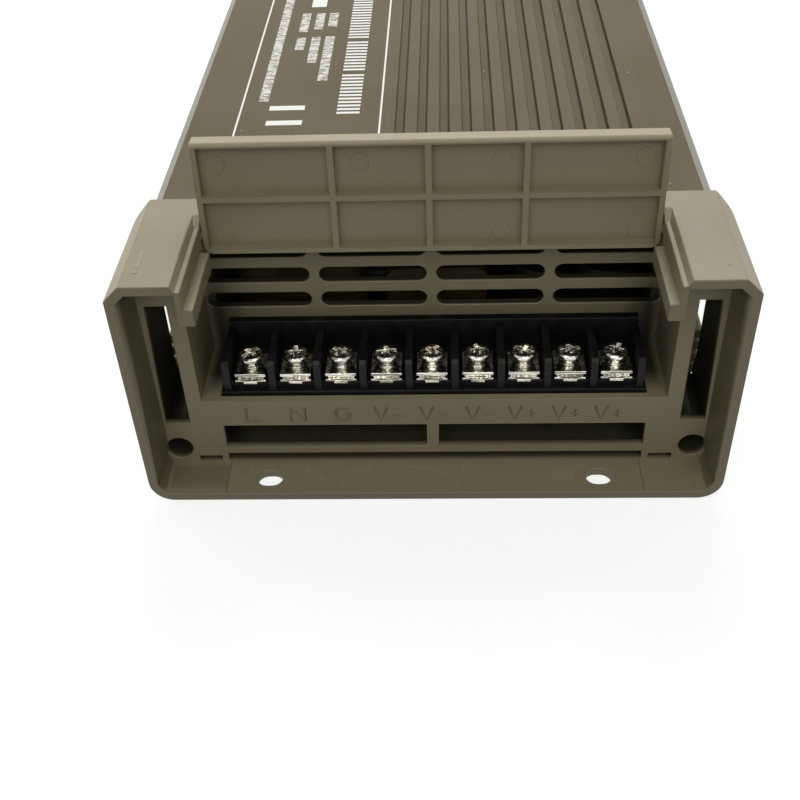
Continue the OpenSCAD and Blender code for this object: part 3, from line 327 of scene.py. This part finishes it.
def darken_corners(finish, base):
    """Painted shade in the bay's corners, beside the terminal block."""
    apart = finish.size_of(finish.along("X"))
    beside_block = finish.times(
        finish.span(apart, *CORNER_OUTER),
        finish.span(apart, *CORNER_INNER),
    )
    deep = finish.times(
        finish.span(finish.along("Y"), *CORNER_Y),
        finish.span(finish.along("Z"), *CORNER_Z),
    )
    finish.tint(finish.times(beside_block, deep), shade(base, CORNER_SHADE))


def darken_front(finish, base):
    """Painted shade on the recess sides, and the cap's front rim made darker than its panel."""
    forward = finish.along("Y")
    sides = finish.times(
        finish.between(finish.size_of(finish.along("X")), *SIDE_X, FADE),
        finish.between(forward, *SIDE_Y, SIDE_Y_FADE),
    )
    inner = finish.between(finish.along("Z"), *SIDE_Z, SIDE_Z_FADE)
    finish.tint(finish.times(sides, inner), shade(base, SIDE_SHADE))
    finish.tint(finish.span(forward, *RIM_Y), shade(base, RIM_SHADE))


def mark_floor(finish, base):
    """Pale flow lines on the recess floor, and a darker patch beyond its left seam."""
    floor = finish.times(
        finish.between(finish.along("Z"), *FLOOR_Z, FADE),
        finish.between(finish.along("Y"), *FLOOR_Y, FLOOR_Y_FADE),
    )
    flow = finish.between(finish.noise(16 * MM, detail=2), low=0.49, high=0.53, soft=0.02)
    finish.mottle(finish.times(floor, flow), low=0.0, high=1.0, amount=0.3, colour=shade(base, 1.5))
    patch = finish.span(finish.along("X"), -SEAM_X + FADE, -SEAM_X - FADE)
    finish.mottle(finish.times(floor, patch), low=0.0, high=1.0, amount=0.7, colour=shade(base, 0.6))


def moulded_plastic(name, tone=1.0, highlight_above=None, front=False):
    """Grey-brown moulded plastic with a fine satin grain, faint flow marks and dust."""
    base = shade(PLASTIC, tone)
    finish = Finish(name, base, roughness=0.5, specular=0.4)
    broad = finish.noise(22 * MM, detail=4)
    grain = finish.noise(0.5 * MM, detail=2)
    finish.mottle(broad, low=0.35, high=0.7, amount=0.35, colour=shade(base, 0.9))
    finish.mottle(grain, *NOISE_RANGE, amount=0.16, colour=shade(base, 1.15))
    finish.specks(
        3.1 * MM, radius=(0.075, 0.045), patch=9 * MM, shown=(0.58, 0.68), amount=0.25,
        colour=PLASTIC_DUST,
    )
    # A painted highlight: the plastic above a height is made lighter, along the cover's top edge
    if highlight_above is not None:
        highlight = finish.span(finish.along("Z"), highlight_above, highlight_above + HIGHLIGHT_FADE)
        finish.tint(highlight, shade(base, HIGHLIGHT_TONE))
    # Front cap: floor marks, a darker rim, painted shade on recess sides, hollows and bay corners
    if front:
        mark_floor(finish, base)
        darken_front(finish, base)
        darken_hollows(finish, base)
        darken_corners(finish, base)
    finish.rough(broad, low=0.42, high=0.55)
    finish.bump(grain, distance=0.012 * MM, strength=0.6)
    finish.bump(finish.noise(5 * MM, detail=2), distance=0.02 * MM, strength=0.35)
    return finish.material


# Grooves along the housing's top, and the line of painted shade in the right corner of each
GROOVE_START = -8.2 * MM
GROOVE_WIDTH = 2.3 * MM
GROOVE_PITCH = 5 * MM
GROOVE_LINE = 0.5 * MM
FIRST_LINE_X = GROOVE_START + GROOVE_WIDTH - GROOVE_LINE
GROOVES_X = mm(-10, 46)
GROOVE_FLOOR = (SHELL_HIGH.z - 1.2 * MM, SHELL_HIGH.z - 1 * MM)
GROOVE_TOP = (SHELL_HIGH.z - 0.05 * MM, SHELL_HIGH.z - 0.15 * MM)
GROOVE_SHADE = 0.3
CHAMFER_X = mm(51, 51.5)


def darken_grooves(finish, base):
    """A line of painted shade in the lower right corner of each groove of the housing."""
    past = finish.since(finish.along("X"), FIRST_LINE_X, GROOVE_PITCH)
    corner = finish.times(
        finish.span(past, GROOVE_LINE, GROOVE_LINE - FADE),
        finish.span(finish.along("Z"), *GROOVE_TOP),
    )
    grooves = finish.times(
        finish.between(finish.along("X"), *GROOVES_X, FADE),
        finish.span(finish.along("Z"), *GROOVE_FLOOR),
    )
    finish.tint(finish.times(corner, grooves), shade(base, GROOVE_SHADE))


def satin_paint():
    """Bronze-brown paint on an extrusion: die lines along Y, dust and a few dark pits."""
    finish = Finish("housing_paint", PAINT, roughness=0.6, specular=0.1)
    broad = finish.noise(30 * MM, detail=4)
    lines = finish.noise(0.7 * MM, detail=2, place=finish.stretched((1.0, 0.012, 1.0)))
    grain = finish.noise(0.35 * MM, detail=2)
    finish.mottle(broad, low=0.35, high=0.7, amount=0.4, colour=shade(PAINT, 0.9))
    finish.mottle(lines, low=0.4, high=0.7, amount=0.35, colour=shade(PAINT, 1.16))
    finish.specks(
        4.3 * MM, radius=(0.07, 0.04), patch=15 * MM, shown=(0.54, 0.64), amount=0.55,
        colour=PAINT_DUST,
    )
    finish.specks(
        11 * MM, radius=(0.04, 0.025), patch=40 * MM, shown=(0.5, 0.6), amount=0.7,
        colour=PAINT_PITS,
    )
    darken_grooves(finish, PAINT)
    # Painted reflection: the housing's side-facing chamfers blended towards light grey
    chamfer_reflection = finish.times(
        finish.between(finish.size_of(finish.facing("X")), low=0.5, high=0.9, soft=0.1),
        finish.span(finish.size_of(finish.along("X")), *CHAMFER_X),
    )
    finish.mottle(chamfer_reflection, low=0.0, high=1.0, amount=0.6, colour=CHAMFER_REFLECTION)
    finish.rough(broad, low=0.54, high=0.66)
    finish.bump(lines, distance=0.006 * MM, strength=0.5)
    finish.bump(grain, distance=0.006 * MM, strength=0.5)
    return finish.material


def print_ink():
    """White screen print, thin enough to let a little of the paint through."""
    finish = Finish("border_ink", WHITE_INK, roughness=0.5, specular=0.3)
    finish.mottle(finish.noise(0.5 * MM, detail=2), low=0.55, high=0.75, amount=0.3, colour=THIN_INK)
    finish.rough(finish.noise(2 * MM), low=0.45, high=0.6)
    return finish.material


def hatched_ink():
    """Fine white hatching that lets the paint show between its lines."""
    finish = Finish("hatched_ink", HATCH_INK, roughness=0.5, specular=0.3)
    lines = finish.noise(0.55 * MM, detail=2, place=finish.stretched((0.35, 1.0, 1.0)))
    finish.mottle(lines, low=0.46, high=0.56, amount=0.8, colour=HATCH_GAPS)
    finish.rough(finish.noise(2 * MM), low=0.45, high=0.6)
    return finish.material


def block_black():
    """Black phenolic of the terminal block, half glossy, with dust and handling marks."""
    finish = Finish("terminal_black", PHENOLIC, roughness=0.4, specular=0.22)
    smears = finish.noise(4 * MM, detail=4)
    finish.mottle(smears, low=0.45, high=0.75, amount=0.35, colour=PHENOLIC_SMEARS)
    finish.specks(
        1.7 * MM, radius=(0.1, 0.06), patch=5 * MM, shown=(0.55, 0.64), amount=0.5,
        colour=PHENOLIC_DUST,
    )
    finish.rough(smears, low=0.34, high=0.5)
    finish.bump(finish.noise(0.6 * MM, detail=2), distance=0.008 * MM, strength=0.4)
    return finish.material


def plated_metal(name, colour, low, high, stretch=(1.0, 1.0, 1.0)):
    """Plated or bare metal, with fine tool lines and a roughness that varies from low to high."""
    finish = Finish(name, colour, roughness=low, metallic=1.0)
    lines = finish.noise(0.3 * MM, place=finish.stretched(stretch))
    finish.mottle(lines, low=0.45, high=0.75, amount=0.35, colour=shade(colour, 0.72))
    finish.rough(lines, low, high)
    finish.bump(lines, distance=0.008 * MM, strength=0.5)
    finish.bump(finish.noise(1.6 * MM, detail=2), distance=0.015 * MM, strength=0.4)
    return finish.material


def terminal_nickel():
    """Bright nickel with painted dark reflections, flecked on upper faces and streaked on front faces."""
    finish = Finish("terminal_metal", NICKEL, roughness=0.16, metallic=1.0)
    flecks = finish.noise(0.55 * MM)
    lines = finish.noise(0.25 * MM, place=finish.stretched((1.0, 1.0, 0.15)))
    streaks = finish.noise(0.55 * MM, detail=2, place=finish.stretched((0.1, 1.0, 1.0)))
    # Painted dark reflections: upper faces darkened except for flecks, front faces darkened in streaks
    upper = finish.span(finish.facing("Z"), low=0.55, high=0.85)
    finish.tint(finish.times(upper, finish.span(flecks, low=0.6, high=0.5)), shade(NICKEL, 0.25))
    forward = finish.span(finish.facing("Y"), low=-0.8, high=-0.95)
    finish.tint(finish.times(forward, finish.span(streaks, low=0.54, high=0.46)), shade(NICKEL, 0.3))
    finish.mottle(lines, low=0.45, high=0.75, amount=0.35, colour=shade(NICKEL, 0.6))
    finish.rough(lines, low=0.12, high=0.28)
    finish.bump(flecks, distance=0.05 * MM, strength=0.5)
    finish.bump(lines, distance=0.008 * MM, strength=0.5)
    return finish.material


def vary(finish, value, roughness):
    """Roughness a little below and above a middle value."""
    finish.rough(value, low=0.85 * roughness, high=1.2 * roughness)


def moulding(name, colour, roughness, size=6 * MM):
    """A plain moulded or dipped surface: uneven tone, fine grain, worn gloss."""
    finish = Finish(name, colour, roughness)
    broad = finish.noise(size, detail=4)
    grain = finish.noise(0.4 * MM, detail=2)
    finish.mottle(broad, low=0.4, high=0.7, amount=0.6, colour=shade(colour, 0.82))
    finish.mottle(grain, low=0.5, high=0.75, amount=0.3, colour=shade(colour, 1.2))
    vary(finish, broad, roughness)
    finish.bump(grain, distance=0.01 * MM, strength=0.5)
    return finish.material


def laminate(name, mask, weave):
    """Circuit board: solder mask over a woven base, with lighter tracks."""
    finish = Finish(name, mask, roughness=0.4)
    threads = finish.times(finish.bands(0.5 * MM, "X"), finish.bands(0.5 * MM, "Y"))
    tracks = finish.bricks(11 * MM, joint=0.06)
    finish.mottle(threads, low=0.2, high=0.8, amount=0.3, colour=weave)
    finish.mottle(tracks, low=0.2, high=0.8, amount=0.45, colour=shade(mask, 1.7))
    finish.rough(finish.noise(3 * MM), low=0.34, high=0.5)
    finish.bump(threads, distance=0.01 * MM, strength=0.4)
    return finish.material


def wound(name, colour, turn, roughness, metallic):
    """Tape or wire laid in turns up an upright part."""
    finish = Finish(name, colour, roughness, metallic)
    turns = finish.bands(turn, "Z", distortion=0.3)
    finish.mottle(turns, low=0.45, high=0.0, amount=0.7, colour=shade(colour, 0.45))
    finish.mottle(finish.noise(4 * MM), low=0.45, high=0.7, amount=0.4, colour=shade(colour, 0.8))
    vary(finish, finish.noise(2 * MM), roughness)
    finish.bump(turns, distance=0.15 * MM, strength=0.7)
    return finish.material


finishes = {
    "cap_plastic": moulded_plastic("cap_plastic"),
    "housing_paint": satin_paint(),
    "base_metal": plated_metal(
        "base_metal", linear(176, 177, 176), low=0.34, high=0.5, stretch=(1.0, 0.04, 1.0)
    ),
    "screw_steel": plated_metal("screw_steel", linear(196, 194, 188), low=0.24, high=0.4),
    "terminal_black": block_black(),
    "terminal_metal": terminal_nickel(),
    "board_laminate": laminate("board_laminate", mask=linear(22, 44, 30), weave=linear(48, 60, 36)),
    "standoff_brass": plated_metal("standoff_brass", linear(205, 172, 96), low=0.25, high=0.4),
    "sheet_plastic": moulding("sheet_plastic", linear(214, 206, 178), roughness=0.5),
    # The tape is darkened well below its own yellow, as painted shade for the dark inside of the housing
    "winding_tape": wound(
        "winding_tape", linear(62, 48, 10), turn=4 * MM, roughness=0.7, metallic=0.0
    ),
    # The fuse's metal is darkened as painted shade, so its caps show no bright reflection through the vents
    "fuse_metal": plated_metal("fuse_metal", linear(84, 83, 80), low=0.4, high=0.55),
    "capacitor_sleeve": moulding("capacitor_sleeve", linear(19, 19, 27), roughness=0.5),
    "device_epoxy": moulding("device_epoxy", linear(32, 31, 31), roughness=0.55, size=3 * MM),
    "ferrite": moulding("ferrite", linear(58, 56, 55), roughness=0.6, size=3 * MM),
    "copper_wire": wound(
        "copper_wire", linear(190, 106, 58), turn=1.1 * MM, roughness=0.3, metallic=1.0
    ),
    "card_laminate": laminate("card_laminate", mask=linear(142, 106, 52), weave=linear(178, 146, 88)),
    "fan_plastic": moulding("fan_plastic", linear(28, 28, 29), roughness=0.45, size=8 * MM),
    "bearing_bronze": plated_metal("bearing_bronze", linear(176, 138, 84), low=0.3, high=0.45),
}
slot_of = {part["node"]: part["material_slot"] for part in frame["record"]["subparts"]}
for name, slot in slot_of.items():
    node = frame["nodes"][name]
    node.data.materials.clear()
    node.data.materials.append(finishes[slot])

front_plastic = moulded_plastic("front_plastic", front=True)
# The cover's plastic, with a painted highlight along its top edge
cover_plastic = moulded_plastic("cover_plastic", highlight_above=COVER_TOP - COVER_RIM)
# A darker copy of the cap plastic, as painted shade on the raised signs and the floor seams
shaded_plastic = moulded_plastic("shaded_sign_plastic", tone=0.62)
gate_plastic = moulded_plastic("gate_plastic", tone=1.16)


# Pieces with rounded edges

SHARP = math.radians(35)
SMOOTH = math.radians(20)
SAME_POINT = 0.001 * MM
EDGE_SEGMENTS = 2
CAP_EDGE = 0.25 * MM
COVER_EDGE = 0.2 * MM
SHELL_EDGE = 0.15 * MM
BLOCK_EDGE = 0.12 * MM
METAL_EDGE = 0.1 * MM


def add_piece(name, mesh, body, slot, material=None):
    """A new piece that rides on a body, in its slot's material unless it has one of its own."""
    mesh.materials.clear()
    mesh.materials.append(material or finishes[slot])
    piece = bpy.data.objects.new(name, mesh)
    scene.collection.objects.link(piece)
    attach(piece, body)
    return piece


def sharp_edges_marked(source):
    """A copy of a mesh as a form, whose sharp outward edges are marked for rounding."""
    form = bmesh.new()
    for vertex in source.vertices:
        form.verts.new(vertex.co)
    form.verts.ensure_lookup_table()
    for polygon in source.polygons:
        form.faces.new([form.verts[i] for i in polygon.vertices])
    bmesh.ops.remove_doubles(form, verts=form.verts, dist=SAME_POINT)
    form.normal_update()
    weight = form.edges.layers.float.new("bevel_weight_edge")
    for edge in form.edges:
        if edge.is_convex and edge.calc_face_angle(0) > SHARP:
            edge[weight] = 1.0
    return form


def eased(node, body, width, material=None):
    """A copy of a CAD node with its sharp outward edges rounded, which stands for the node."""
    form = sharp_edges_marked(frame["nodes"][node].data)
    mesh = bpy.data.meshes.new(node + "_eased")
    form.to_mesh(mesh)
    form.free()
    for polygon in mesh.polygons:
        polygon.use_smooth = True
    mesh.set_sharp_from_angle(angle=SMOOTH)
    piece = add_piece(node + "_eased", mesh, body, slot_of[node], material)
    bevel = piece.modifiers.new("edges", "BEVEL")
    bevel.width = width
    bevel.segments = EDGE_SEGMENTS
    bevel.limit_method = "WEIGHT"
    bevel.use_clamp_overlap = False
    bevel.loop_slide = False
    bevel.harden_normals = True
    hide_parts(node)


eased("front_cap", "case", CAP_EDGE, front_plastic)
eased("rear_cap", "case", CAP_EDGE)
eased("terminal_cover", "cover", COVER_EDGE, cover_plastic)
eased("housing_shell", "case", SHELL_EDGE)
eased("terminal_block", "case", BLOCK_EDGE)
for metal_node in ("terminal_tabs", "clamp_plates", "terminal_screws"):
    eased(metal_node, "case", METAL_EDGE)


# Signs below the terminals


def arc(start, end, steps=20):
    """Points on the circle that fills a unit square, from one angle to another in degrees."""
    turns = [math.radians(start + (end - start) * i / steps) for i in range(steps + 1)]
    return [(0.5 + 0.5 * math.cos(t), 0.5 + 0.5 * math.sin(t)) for t in turns]


# Each sign's strokes, as points across and up a unit square
STROKES = {
    "L": [[(0, 1), (0, 0), (1, 0)]],
    "N": [[(0, 0), (0, 1), (1, 0), (1, 1)]],
    "G": [arc(48, 360) + [(0.55, 0.5)]],
    "V": [[(0, 1), (0.5, 0), (1, 1)]],
    "-": [[(0, 0.5), (1, 0.5)]],
    "+": [[(0, 0.5), (1, 0.5)], [(0.5, 0), (0.5, 1)]],
}
WAY_SIGNS = ("L", "N", "G", "V-", "V-", "V-", "V+", "V+", "V+")
WAY_XS = mm(-37.6, -28.3, -18.8, -9.3, 0.3, 9.9, 18.7, 27.8, 36.5)
SIGN_LOW = CAP_LOW.z + 13.8 * MM
SIGN_HEIGHT = 3.4 * MM
SIGN_R = 0.3 * MM
SIGN_ROUND = 2
LETTER_WIDTH = 3.1 * MM
PAIRED_WIDTH = 2.7 * MM
MARK_SIZE = 1.9 * MM
MARK_GAP = 1.1 * MM
MARK_RISE = 0.5 * MM
MARK_WEIGHT = 0.75


def raised_strokes(curve, sign, x, low, size, weight=1.0):
    """Half-round strokes of one sign on the panel below the terminals."""
    width, height = size
    for stroke in STROKES[sign]:
        spline = curve.splines.new("POLY")
        spline.points.add(len(stroke) - 1)
        for point, (across, up) in zip(spline.points, stroke):
            point.co = (x + across * width, PANEL_Y, low + up * height, 1)
            point.radius = weight


def add_signs():
    """The letters moulded below the terminal ways, some with a mark beside them."""
    for way, (x, sign) in enumerate(zip(WAY_XS, WAY_SIGNS), 1):
        curve = bpy.data.curves.new(f"way_sign_{way}", "CURVE")
        curve.dimensions = "3D"
        curve.bevel_depth = SIGN_R
        curve.bevel_resolution = SIGN_ROUND
        curve.use_fill_caps = True
        letter, mark = sign[0], sign[1:]
        width = PAIRED_WIDTH if mark else LETTER_WIDTH
        total = width + MARK_GAP + MARK_SIZE if mark else width
        left = x - total / 2
        raised_strokes(curve, letter, left, SIGN_LOW, (width, SIGN_HEIGHT))
        if mark:
            mark_x = left + total - MARK_SIZE
            mark_low = SIGN_LOW + MARK_RISE
            raised_strokes(curve, mark, mark_x, mark_low, (MARK_SIZE, MARK_SIZE), MARK_WEIGHT)
        # The signs take the darker plastic as painted shade
        add_piece(curve.name, curve, "case", "cap_plastic", shaded_plastic)


# Print on the housing's top

INK_HALF = 0.03 * MM
LINE_XS = mm(-44, -11.55)
LINE_HALF = 0.22 * MM
TICK_X = mm(-21.7, -16.4)
TICK_START = -40.5 * MM
TICK_WIDTH = 0.95 * MM
TICK_PITCH = 1.8 * MM
TICK_GROUPS = (12, 10, 18)
GROUP_GAP = 1.5 * MM
HEADING_X = mm(-33, -29)
HEADING_Y = mm(23.5, 36)
BAR_X = mm(-37.4, -29.2)
BAR_YS = mm(-38.2, -45.6)
BAR_WIDTH = 2.2 * MM

# Columns of hatching: where each lies across the top, and the stretches that it fills along it
FIELD_COLUMNS = (
    (mm(-40.4, -38.1), [mm(-33.5, 53)]),
    (mm(-34.9, -32.6), [mm(6.7, 19), mm(-4.6, 3)]),
    (mm(-31.1, -28.8), [mm(8.3, 19), mm(-12.5, 3.3)]),
    (mm(-27.6, -25.2), [mm(10, 19), mm(-22.8, 3.5)]),
)


def add_slab(form, low, high):
    """A thin box between two corners."""
    low, high = Vector(low), Vector(high)
    size = high - low
    place = Matrix.Translation((low + high) / 2) @ Matrix.Diagonal((*size, 1))
    bmesh.ops.create_cube(form, size=1, matrix=place)


def add_ink(form, across, along):
    """A patch of ink on the housing's top."""
    low = (across[0], along[0], SHELL_HIGH.z - INK_HALF)
    high = (across[1], along[1], SHELL_HIGH.z + INK_HALF)
    add_slab(form, low, high)


def finish_form(name, form, body, slot, material=None):
    """Makes a form into a piece."""
    mesh = bpy.data.meshes.new(name)
    form.to_mesh(mesh)
    form.free()
    add_piece(name, mesh, body, slot, material)


def add_border_print():
    """White lines along the housing's top, ticks between them, a heading block and two bars."""
    form = bmesh.new()
    for x in LINE_XS:
        add_ink(form, (x - LINE_HALF, x + LINE_HALF), (SHELL_LOW.y, SHELL_HIGH.y))
    y = TICK_START
    for ticks in TICK_GROUPS:
        for _ in range(ticks):
            add_ink(form, TICK_X, (y, y + TICK_WIDTH))
            y += TICK_PITCH
        y += GROUP_GAP
    add_ink(form, HEADING_X, HEADING_Y)
    for bar_y in BAR_YS:
        add_ink(form, BAR_X, (bar_y, bar_y + BAR_WIDTH))
    finish_form("border_print", form, "case", "housing_paint", print_ink())


def add_field_print():
    """Pale fields of fine hatching beside the ticks."""
    form = bmesh.new()
    for across, stretches in FIELD_COLUMNS:
        for along in stretches:
            add_ink(form, across, along)
    finish_form("field_print", form, "case", "housing_paint", hatched_ink())


# Mould marks

# Rows of ejector marks on the closed cover: each row's place ahead of the hinge, and its marks across.
# The floor of the cover's cells is given above the hinge.
EJECTOR_ROWS = (
    (14.7 * MM, mm(-41, -13.2, 14, 41)),
    (-0.7 * MM, mm(-41, 14.2, 40.6)),
)
EJECTOR_R = 1.85 * MM
EJECTOR_HEIGHT = 0.16 * MM
EJECTOR_SUNK = 0.02 * MM
EJECTOR_SIDES = 48
CELL_FLOOR = 0.8 * MM

# Gate marks on the ear tops: each dot's place across, its place behind the cap's front, and its radius
GATE_DOTS = (mm(-54.5, 5, 0.55), mm(54.4, 5.1, 0.5))
GATE_DOT_HEIGHT = 0.2 * MM
GATE_DOT_TAPER = 0.8
GATE_DOT_SIDES = 24
GATE_BAR_X = mm(-54.75, -53.95)
GATE_BAR_Y = mm(6.6, 12.2)
GATE_BAR_Z = mm(-0.05, 0.04)

SEAM_HALF = 0.1 * MM
SEAM_SETBACK = 0.4 * MM
SEAM_Z = mm(-0.05, 0.06)


def add_disc(form, place, sides, lower_r, upper_r, height):
    """A low round boss, upright in its own place."""
    bmesh.ops.create_cone(
        form, cap_ends=True, segments=sides, radius1=lower_r, radius2=upper_r,
        depth=height, matrix=place,
    )


def add_ejector_marks():
    """Shallow round ejector marks on the cell floors of the cover, which rests open."""
    hinge = next(joint for joint in frame["joints"] if joint["name"] == "cover_hinge")
    opened = Matrix.Rotation(math.radians(-hinge["range_deg"][1]), 4, "X")
    cover = Matrix.Translation(hinge["pos_m"]) @ opened
    level = CELL_FLOOR - EJECTOR_HEIGHT / 2 + EJECTOR_SUNK
    face_r = EJECTOR_R - EJECTOR_HEIGHT / 2
    form = bmesh.new()
    for ahead, xs in EJECTOR_ROWS:
        for x in xs:
            place = cover @ Matrix.Translation((x, -ahead, level))
            add_disc(form, place, EJECTOR_SIDES, face_r, EJECTOR_R, EJECTOR_HEIGHT)
    finish_form("ejector_marks", form, "cover", "cap_plastic")


def add_gate_marks():
    """Pale gate marks on the ear tops: a dot on each, and a bar on the left one."""
    form = bmesh.new()
    for x, setback, radius in GATE_DOTS:
        place = Matrix.Translation((x, CAP_LOW.y + setback, CAP_HIGH.z))
        add_disc(form, place, GATE_DOT_SIDES, radius, GATE_DOT_TAPER * radius, GATE_DOT_HEIGHT)
    bar = zip(GATE_BAR_X, GATE_BAR_Y, GATE_BAR_Z)
    low, high = ((x, CAP_LOW.y + y, CAP_HIGH.z + z) for x, y, z in bar)
    add_slab(form, low, high)
    finish_form("gate_marks", form, "case", "cap_plastic", gate_plastic)


def add_floor_seams():
    """Mould seams across the recess floor."""
    form = bmesh.new()
    for x in (-SEAM_X, SEAM_X):
        low = (x - SEAM_HALF, CAP_LOW.y + SEAM_SETBACK, RECESS_FLOOR + SEAM_Z[0])
        high = (x + SEAM_HALF, PANEL_Y, RECESS_FLOOR + SEAM_Z[1])
        add_slab(form, low, high)
    # The seams take the darker plastic as painted shade
    finish_form("floor_seams", form, "case", "cap_plastic", shaded_plastic)


add_signs()
add_border_print()
add_field_print()
add_ejector_marks()
add_gate_marks()
add_floor_seams()


# Camera, fitted to the photograph

CAMERA_PITCH = math.radians(40.539)
CAMERA_YAW = math.radians(-3.410)
CAMERA_ROLL = math.radians(-2.694)
CAMERA_PLACE = mm(3.7765, -275.5265, 169.5203)
CAMERA_NEAR = 10 * MM

# The sensor and the focal length are in millimetres, as Blender takes them
SENSOR_WIDTH = 36
FOCAL_LENGTH = 50.225


def add_camera():
    """The camera, looking down on the terminal end."""
    level = math.cos(CAMERA_PITCH)
    ahead = Vector(
        (math.sin(CAMERA_YAW) * level, math.cos(CAMERA_YAW) * level, -math.sin(CAMERA_PITCH))
    )
    right = Vector((math.cos(CAMERA_YAW), -math.sin(CAMERA_YAW), 0))
    up = right.cross(ahead)
    across = math.cos(CAMERA_ROLL) * right + math.sin(CAMERA_ROLL) * up
    above = math.cos(CAMERA_ROLL) * up - math.sin(CAMERA_ROLL) * right
    lens = bpy.data.cameras.new("camera")
    lens.sensor_width = SENSOR_WIDTH
    lens.lens = FOCAL_LENGTH
    lens.clip_start = CAMERA_NEAR
    camera = bpy.data.objects.new("camera", lens)
    camera.matrix_world = Matrix((across, above, -ahead)).transposed().to_4x4()
    camera.matrix_world.translation = Vector(CAMERA_PLACE)
    scene.collection.objects.link(camera)
    scene.camera = camera


# Floor and light

FLOOR_HALF = 4.0
FLOOR_DROP = 0.1 * MM
FLOOR_GREY = (0.3, 0.3, 0.3, 1)
GLOW_REACH = (0.4, 1.6)
GLOW_LEVEL = (0.78, 1.0)
WORLD_WHITE = (1, 1, 1, 1)
WORLD_LIGHT = 0.1
WORLD_SEEN = 1.0


def seen_directly(nodes, links):
    """1 for camera, mirror and transmitted rays, and 0 for the light that reaches the object."""
    path = nodes.new("ShaderNodeLightPath")
    total = path.outputs["Is Camera Ray"]
    for name in ("Is Glossy Ray", "Is Transmission Ray"):
        either = nodes.new("ShaderNodeMath")
        either.operation = "MAXIMUM"
        links.new(total, either.inputs[0])
        links.new(path.outputs[name], either.inputs[1])
        total = either.outputs["Value"]
    return total


def floor_white():
    """A matt floor that keeps shadows and looks nearly white, and quite white far off."""
    material = bpy.data.materials.new("floor_white")
    material.use_nodes = True
    nodes, links = material.node_tree.nodes, material.node_tree.links
    nodes.remove(nodes["Principled BSDF"])
    matt = nodes.new("ShaderNodeBsdfDiffuse")
    matt.inputs["Color"].default_value = FLOOR_GREY
    reach = nodes.new("ShaderNodeVectorMath")
    reach.operation = "LENGTH"
    links.new(nodes.new("ShaderNodeTexCoord").outputs["Object"], reach.inputs[0])
    level = nodes.new("ShaderNodeMapRange")
    level.inputs["From Min"].default_value = GLOW_REACH[0]
    level.inputs["From Max"].default_value = GLOW_REACH[1]
    level.inputs["To Min"].default_value = GLOW_LEVEL[0]
    level.inputs["To Max"].default_value = GLOW_LEVEL[1]
    links.new(reach.outputs["Value"], level.inputs["Value"])
    strength = nodes.new("ShaderNodeMath")
    strength.operation = "MULTIPLY"
    links.new(seen_directly(nodes, links), strength.inputs[0])
    links.new(level.outputs["Result"], strength.inputs[1])
    glow = nodes.new("ShaderNodeEmission")
    links.new(strength.outputs["Value"], glow.inputs["Strength"])
    both = nodes.new("ShaderNodeAddShader")
    links.new(matt.outputs["BSDF"], both.inputs[0])
    links.new(glow.outputs["Emission"], both.inputs[1])
    links.new(both.outputs["Shader"], nodes["Material Output"].inputs["Surface"])
    return material


def add_floor():
    """The plain floor, a hair below the object's feet."""
    mesh = bpy.data.meshes.new("floor")
    quarters = ((-1, -1), (1, -1), (1, 1), (-1, 1))
    corners = [(x * FLOOR_HALF, y * FLOOR_HALF, 0) for x, y in quarters]
    mesh.from_pydata(corners, [], [range(len(corners))])
    mesh.materials.append(floor_white())
    floor = bpy.data.objects.new("floor", mesh)
    floor.location.z = -FLOOR_DROP
    scene.collection.objects.link(floor)


def add_world():
    """White all round where it is seen, and only a little light on the object."""
    world = bpy.data.worlds.new("studio")
    world.use_nodes = True
    scene.world = world
    nodes, links = world.node_tree.nodes, world.node_tree.links
    strength = nodes.new("ShaderNodeMapRange")
    strength.inputs["To Min"].default_value = WORLD_LIGHT
    strength.inputs["To Max"].default_value = WORLD_SEEN
    links.new(seen_directly(nodes, links), strength.inputs["Value"])
    background = nodes["Background"]
    background.inputs["Color"].default_value = WORLD_WHITE
    links.new(strength.outputs["Result"], background.inputs["Strength"])


def add_softbox(name, power, size, place, target):
    """A soft rectangular lamp that points at a target."""
    lamp = bpy.data.lights.new(name, "AREA")
    lamp.energy = power
    lamp.shape = "RECTANGLE"
    lamp.size, lamp.size_y = size
    light = bpy.data.objects.new(name, lamp)
    light.location = place
    light.rotation_euler = (Vector(target) - Vector(place)).to_track_quat("-Z", "Y").to_euler()
    scene.collection.objects.link(light)


add_camera()
add_floor()
add_world()
add_softbox("key", power=10.5, size=(0.9, 0.7), place=(0, 0.9, 1.0), target=(0, 0, 0.05))
add_softbox("fill", power=9.5, size=(1.6, 0.8), place=(0, -1.3, 1.2), target=(0, 0, 0.03))
add_softbox("top", power=4, size=(1.2, 0.9), place=(0, -0.45, 1.5), target=(0, -0.05, 0.03))
add_softbox("left", power=9, size=(0.8, 0.8), place=(-1.2, 0.5, 0.5), target=(0, 0, 0.04))
add_softbox("right", power=6, size=(0.8, 0.8), place=(1.2, 0.5, 0.5), target=(0, 0, 0.04))
scene.view_settings.view_transform = "Standard"
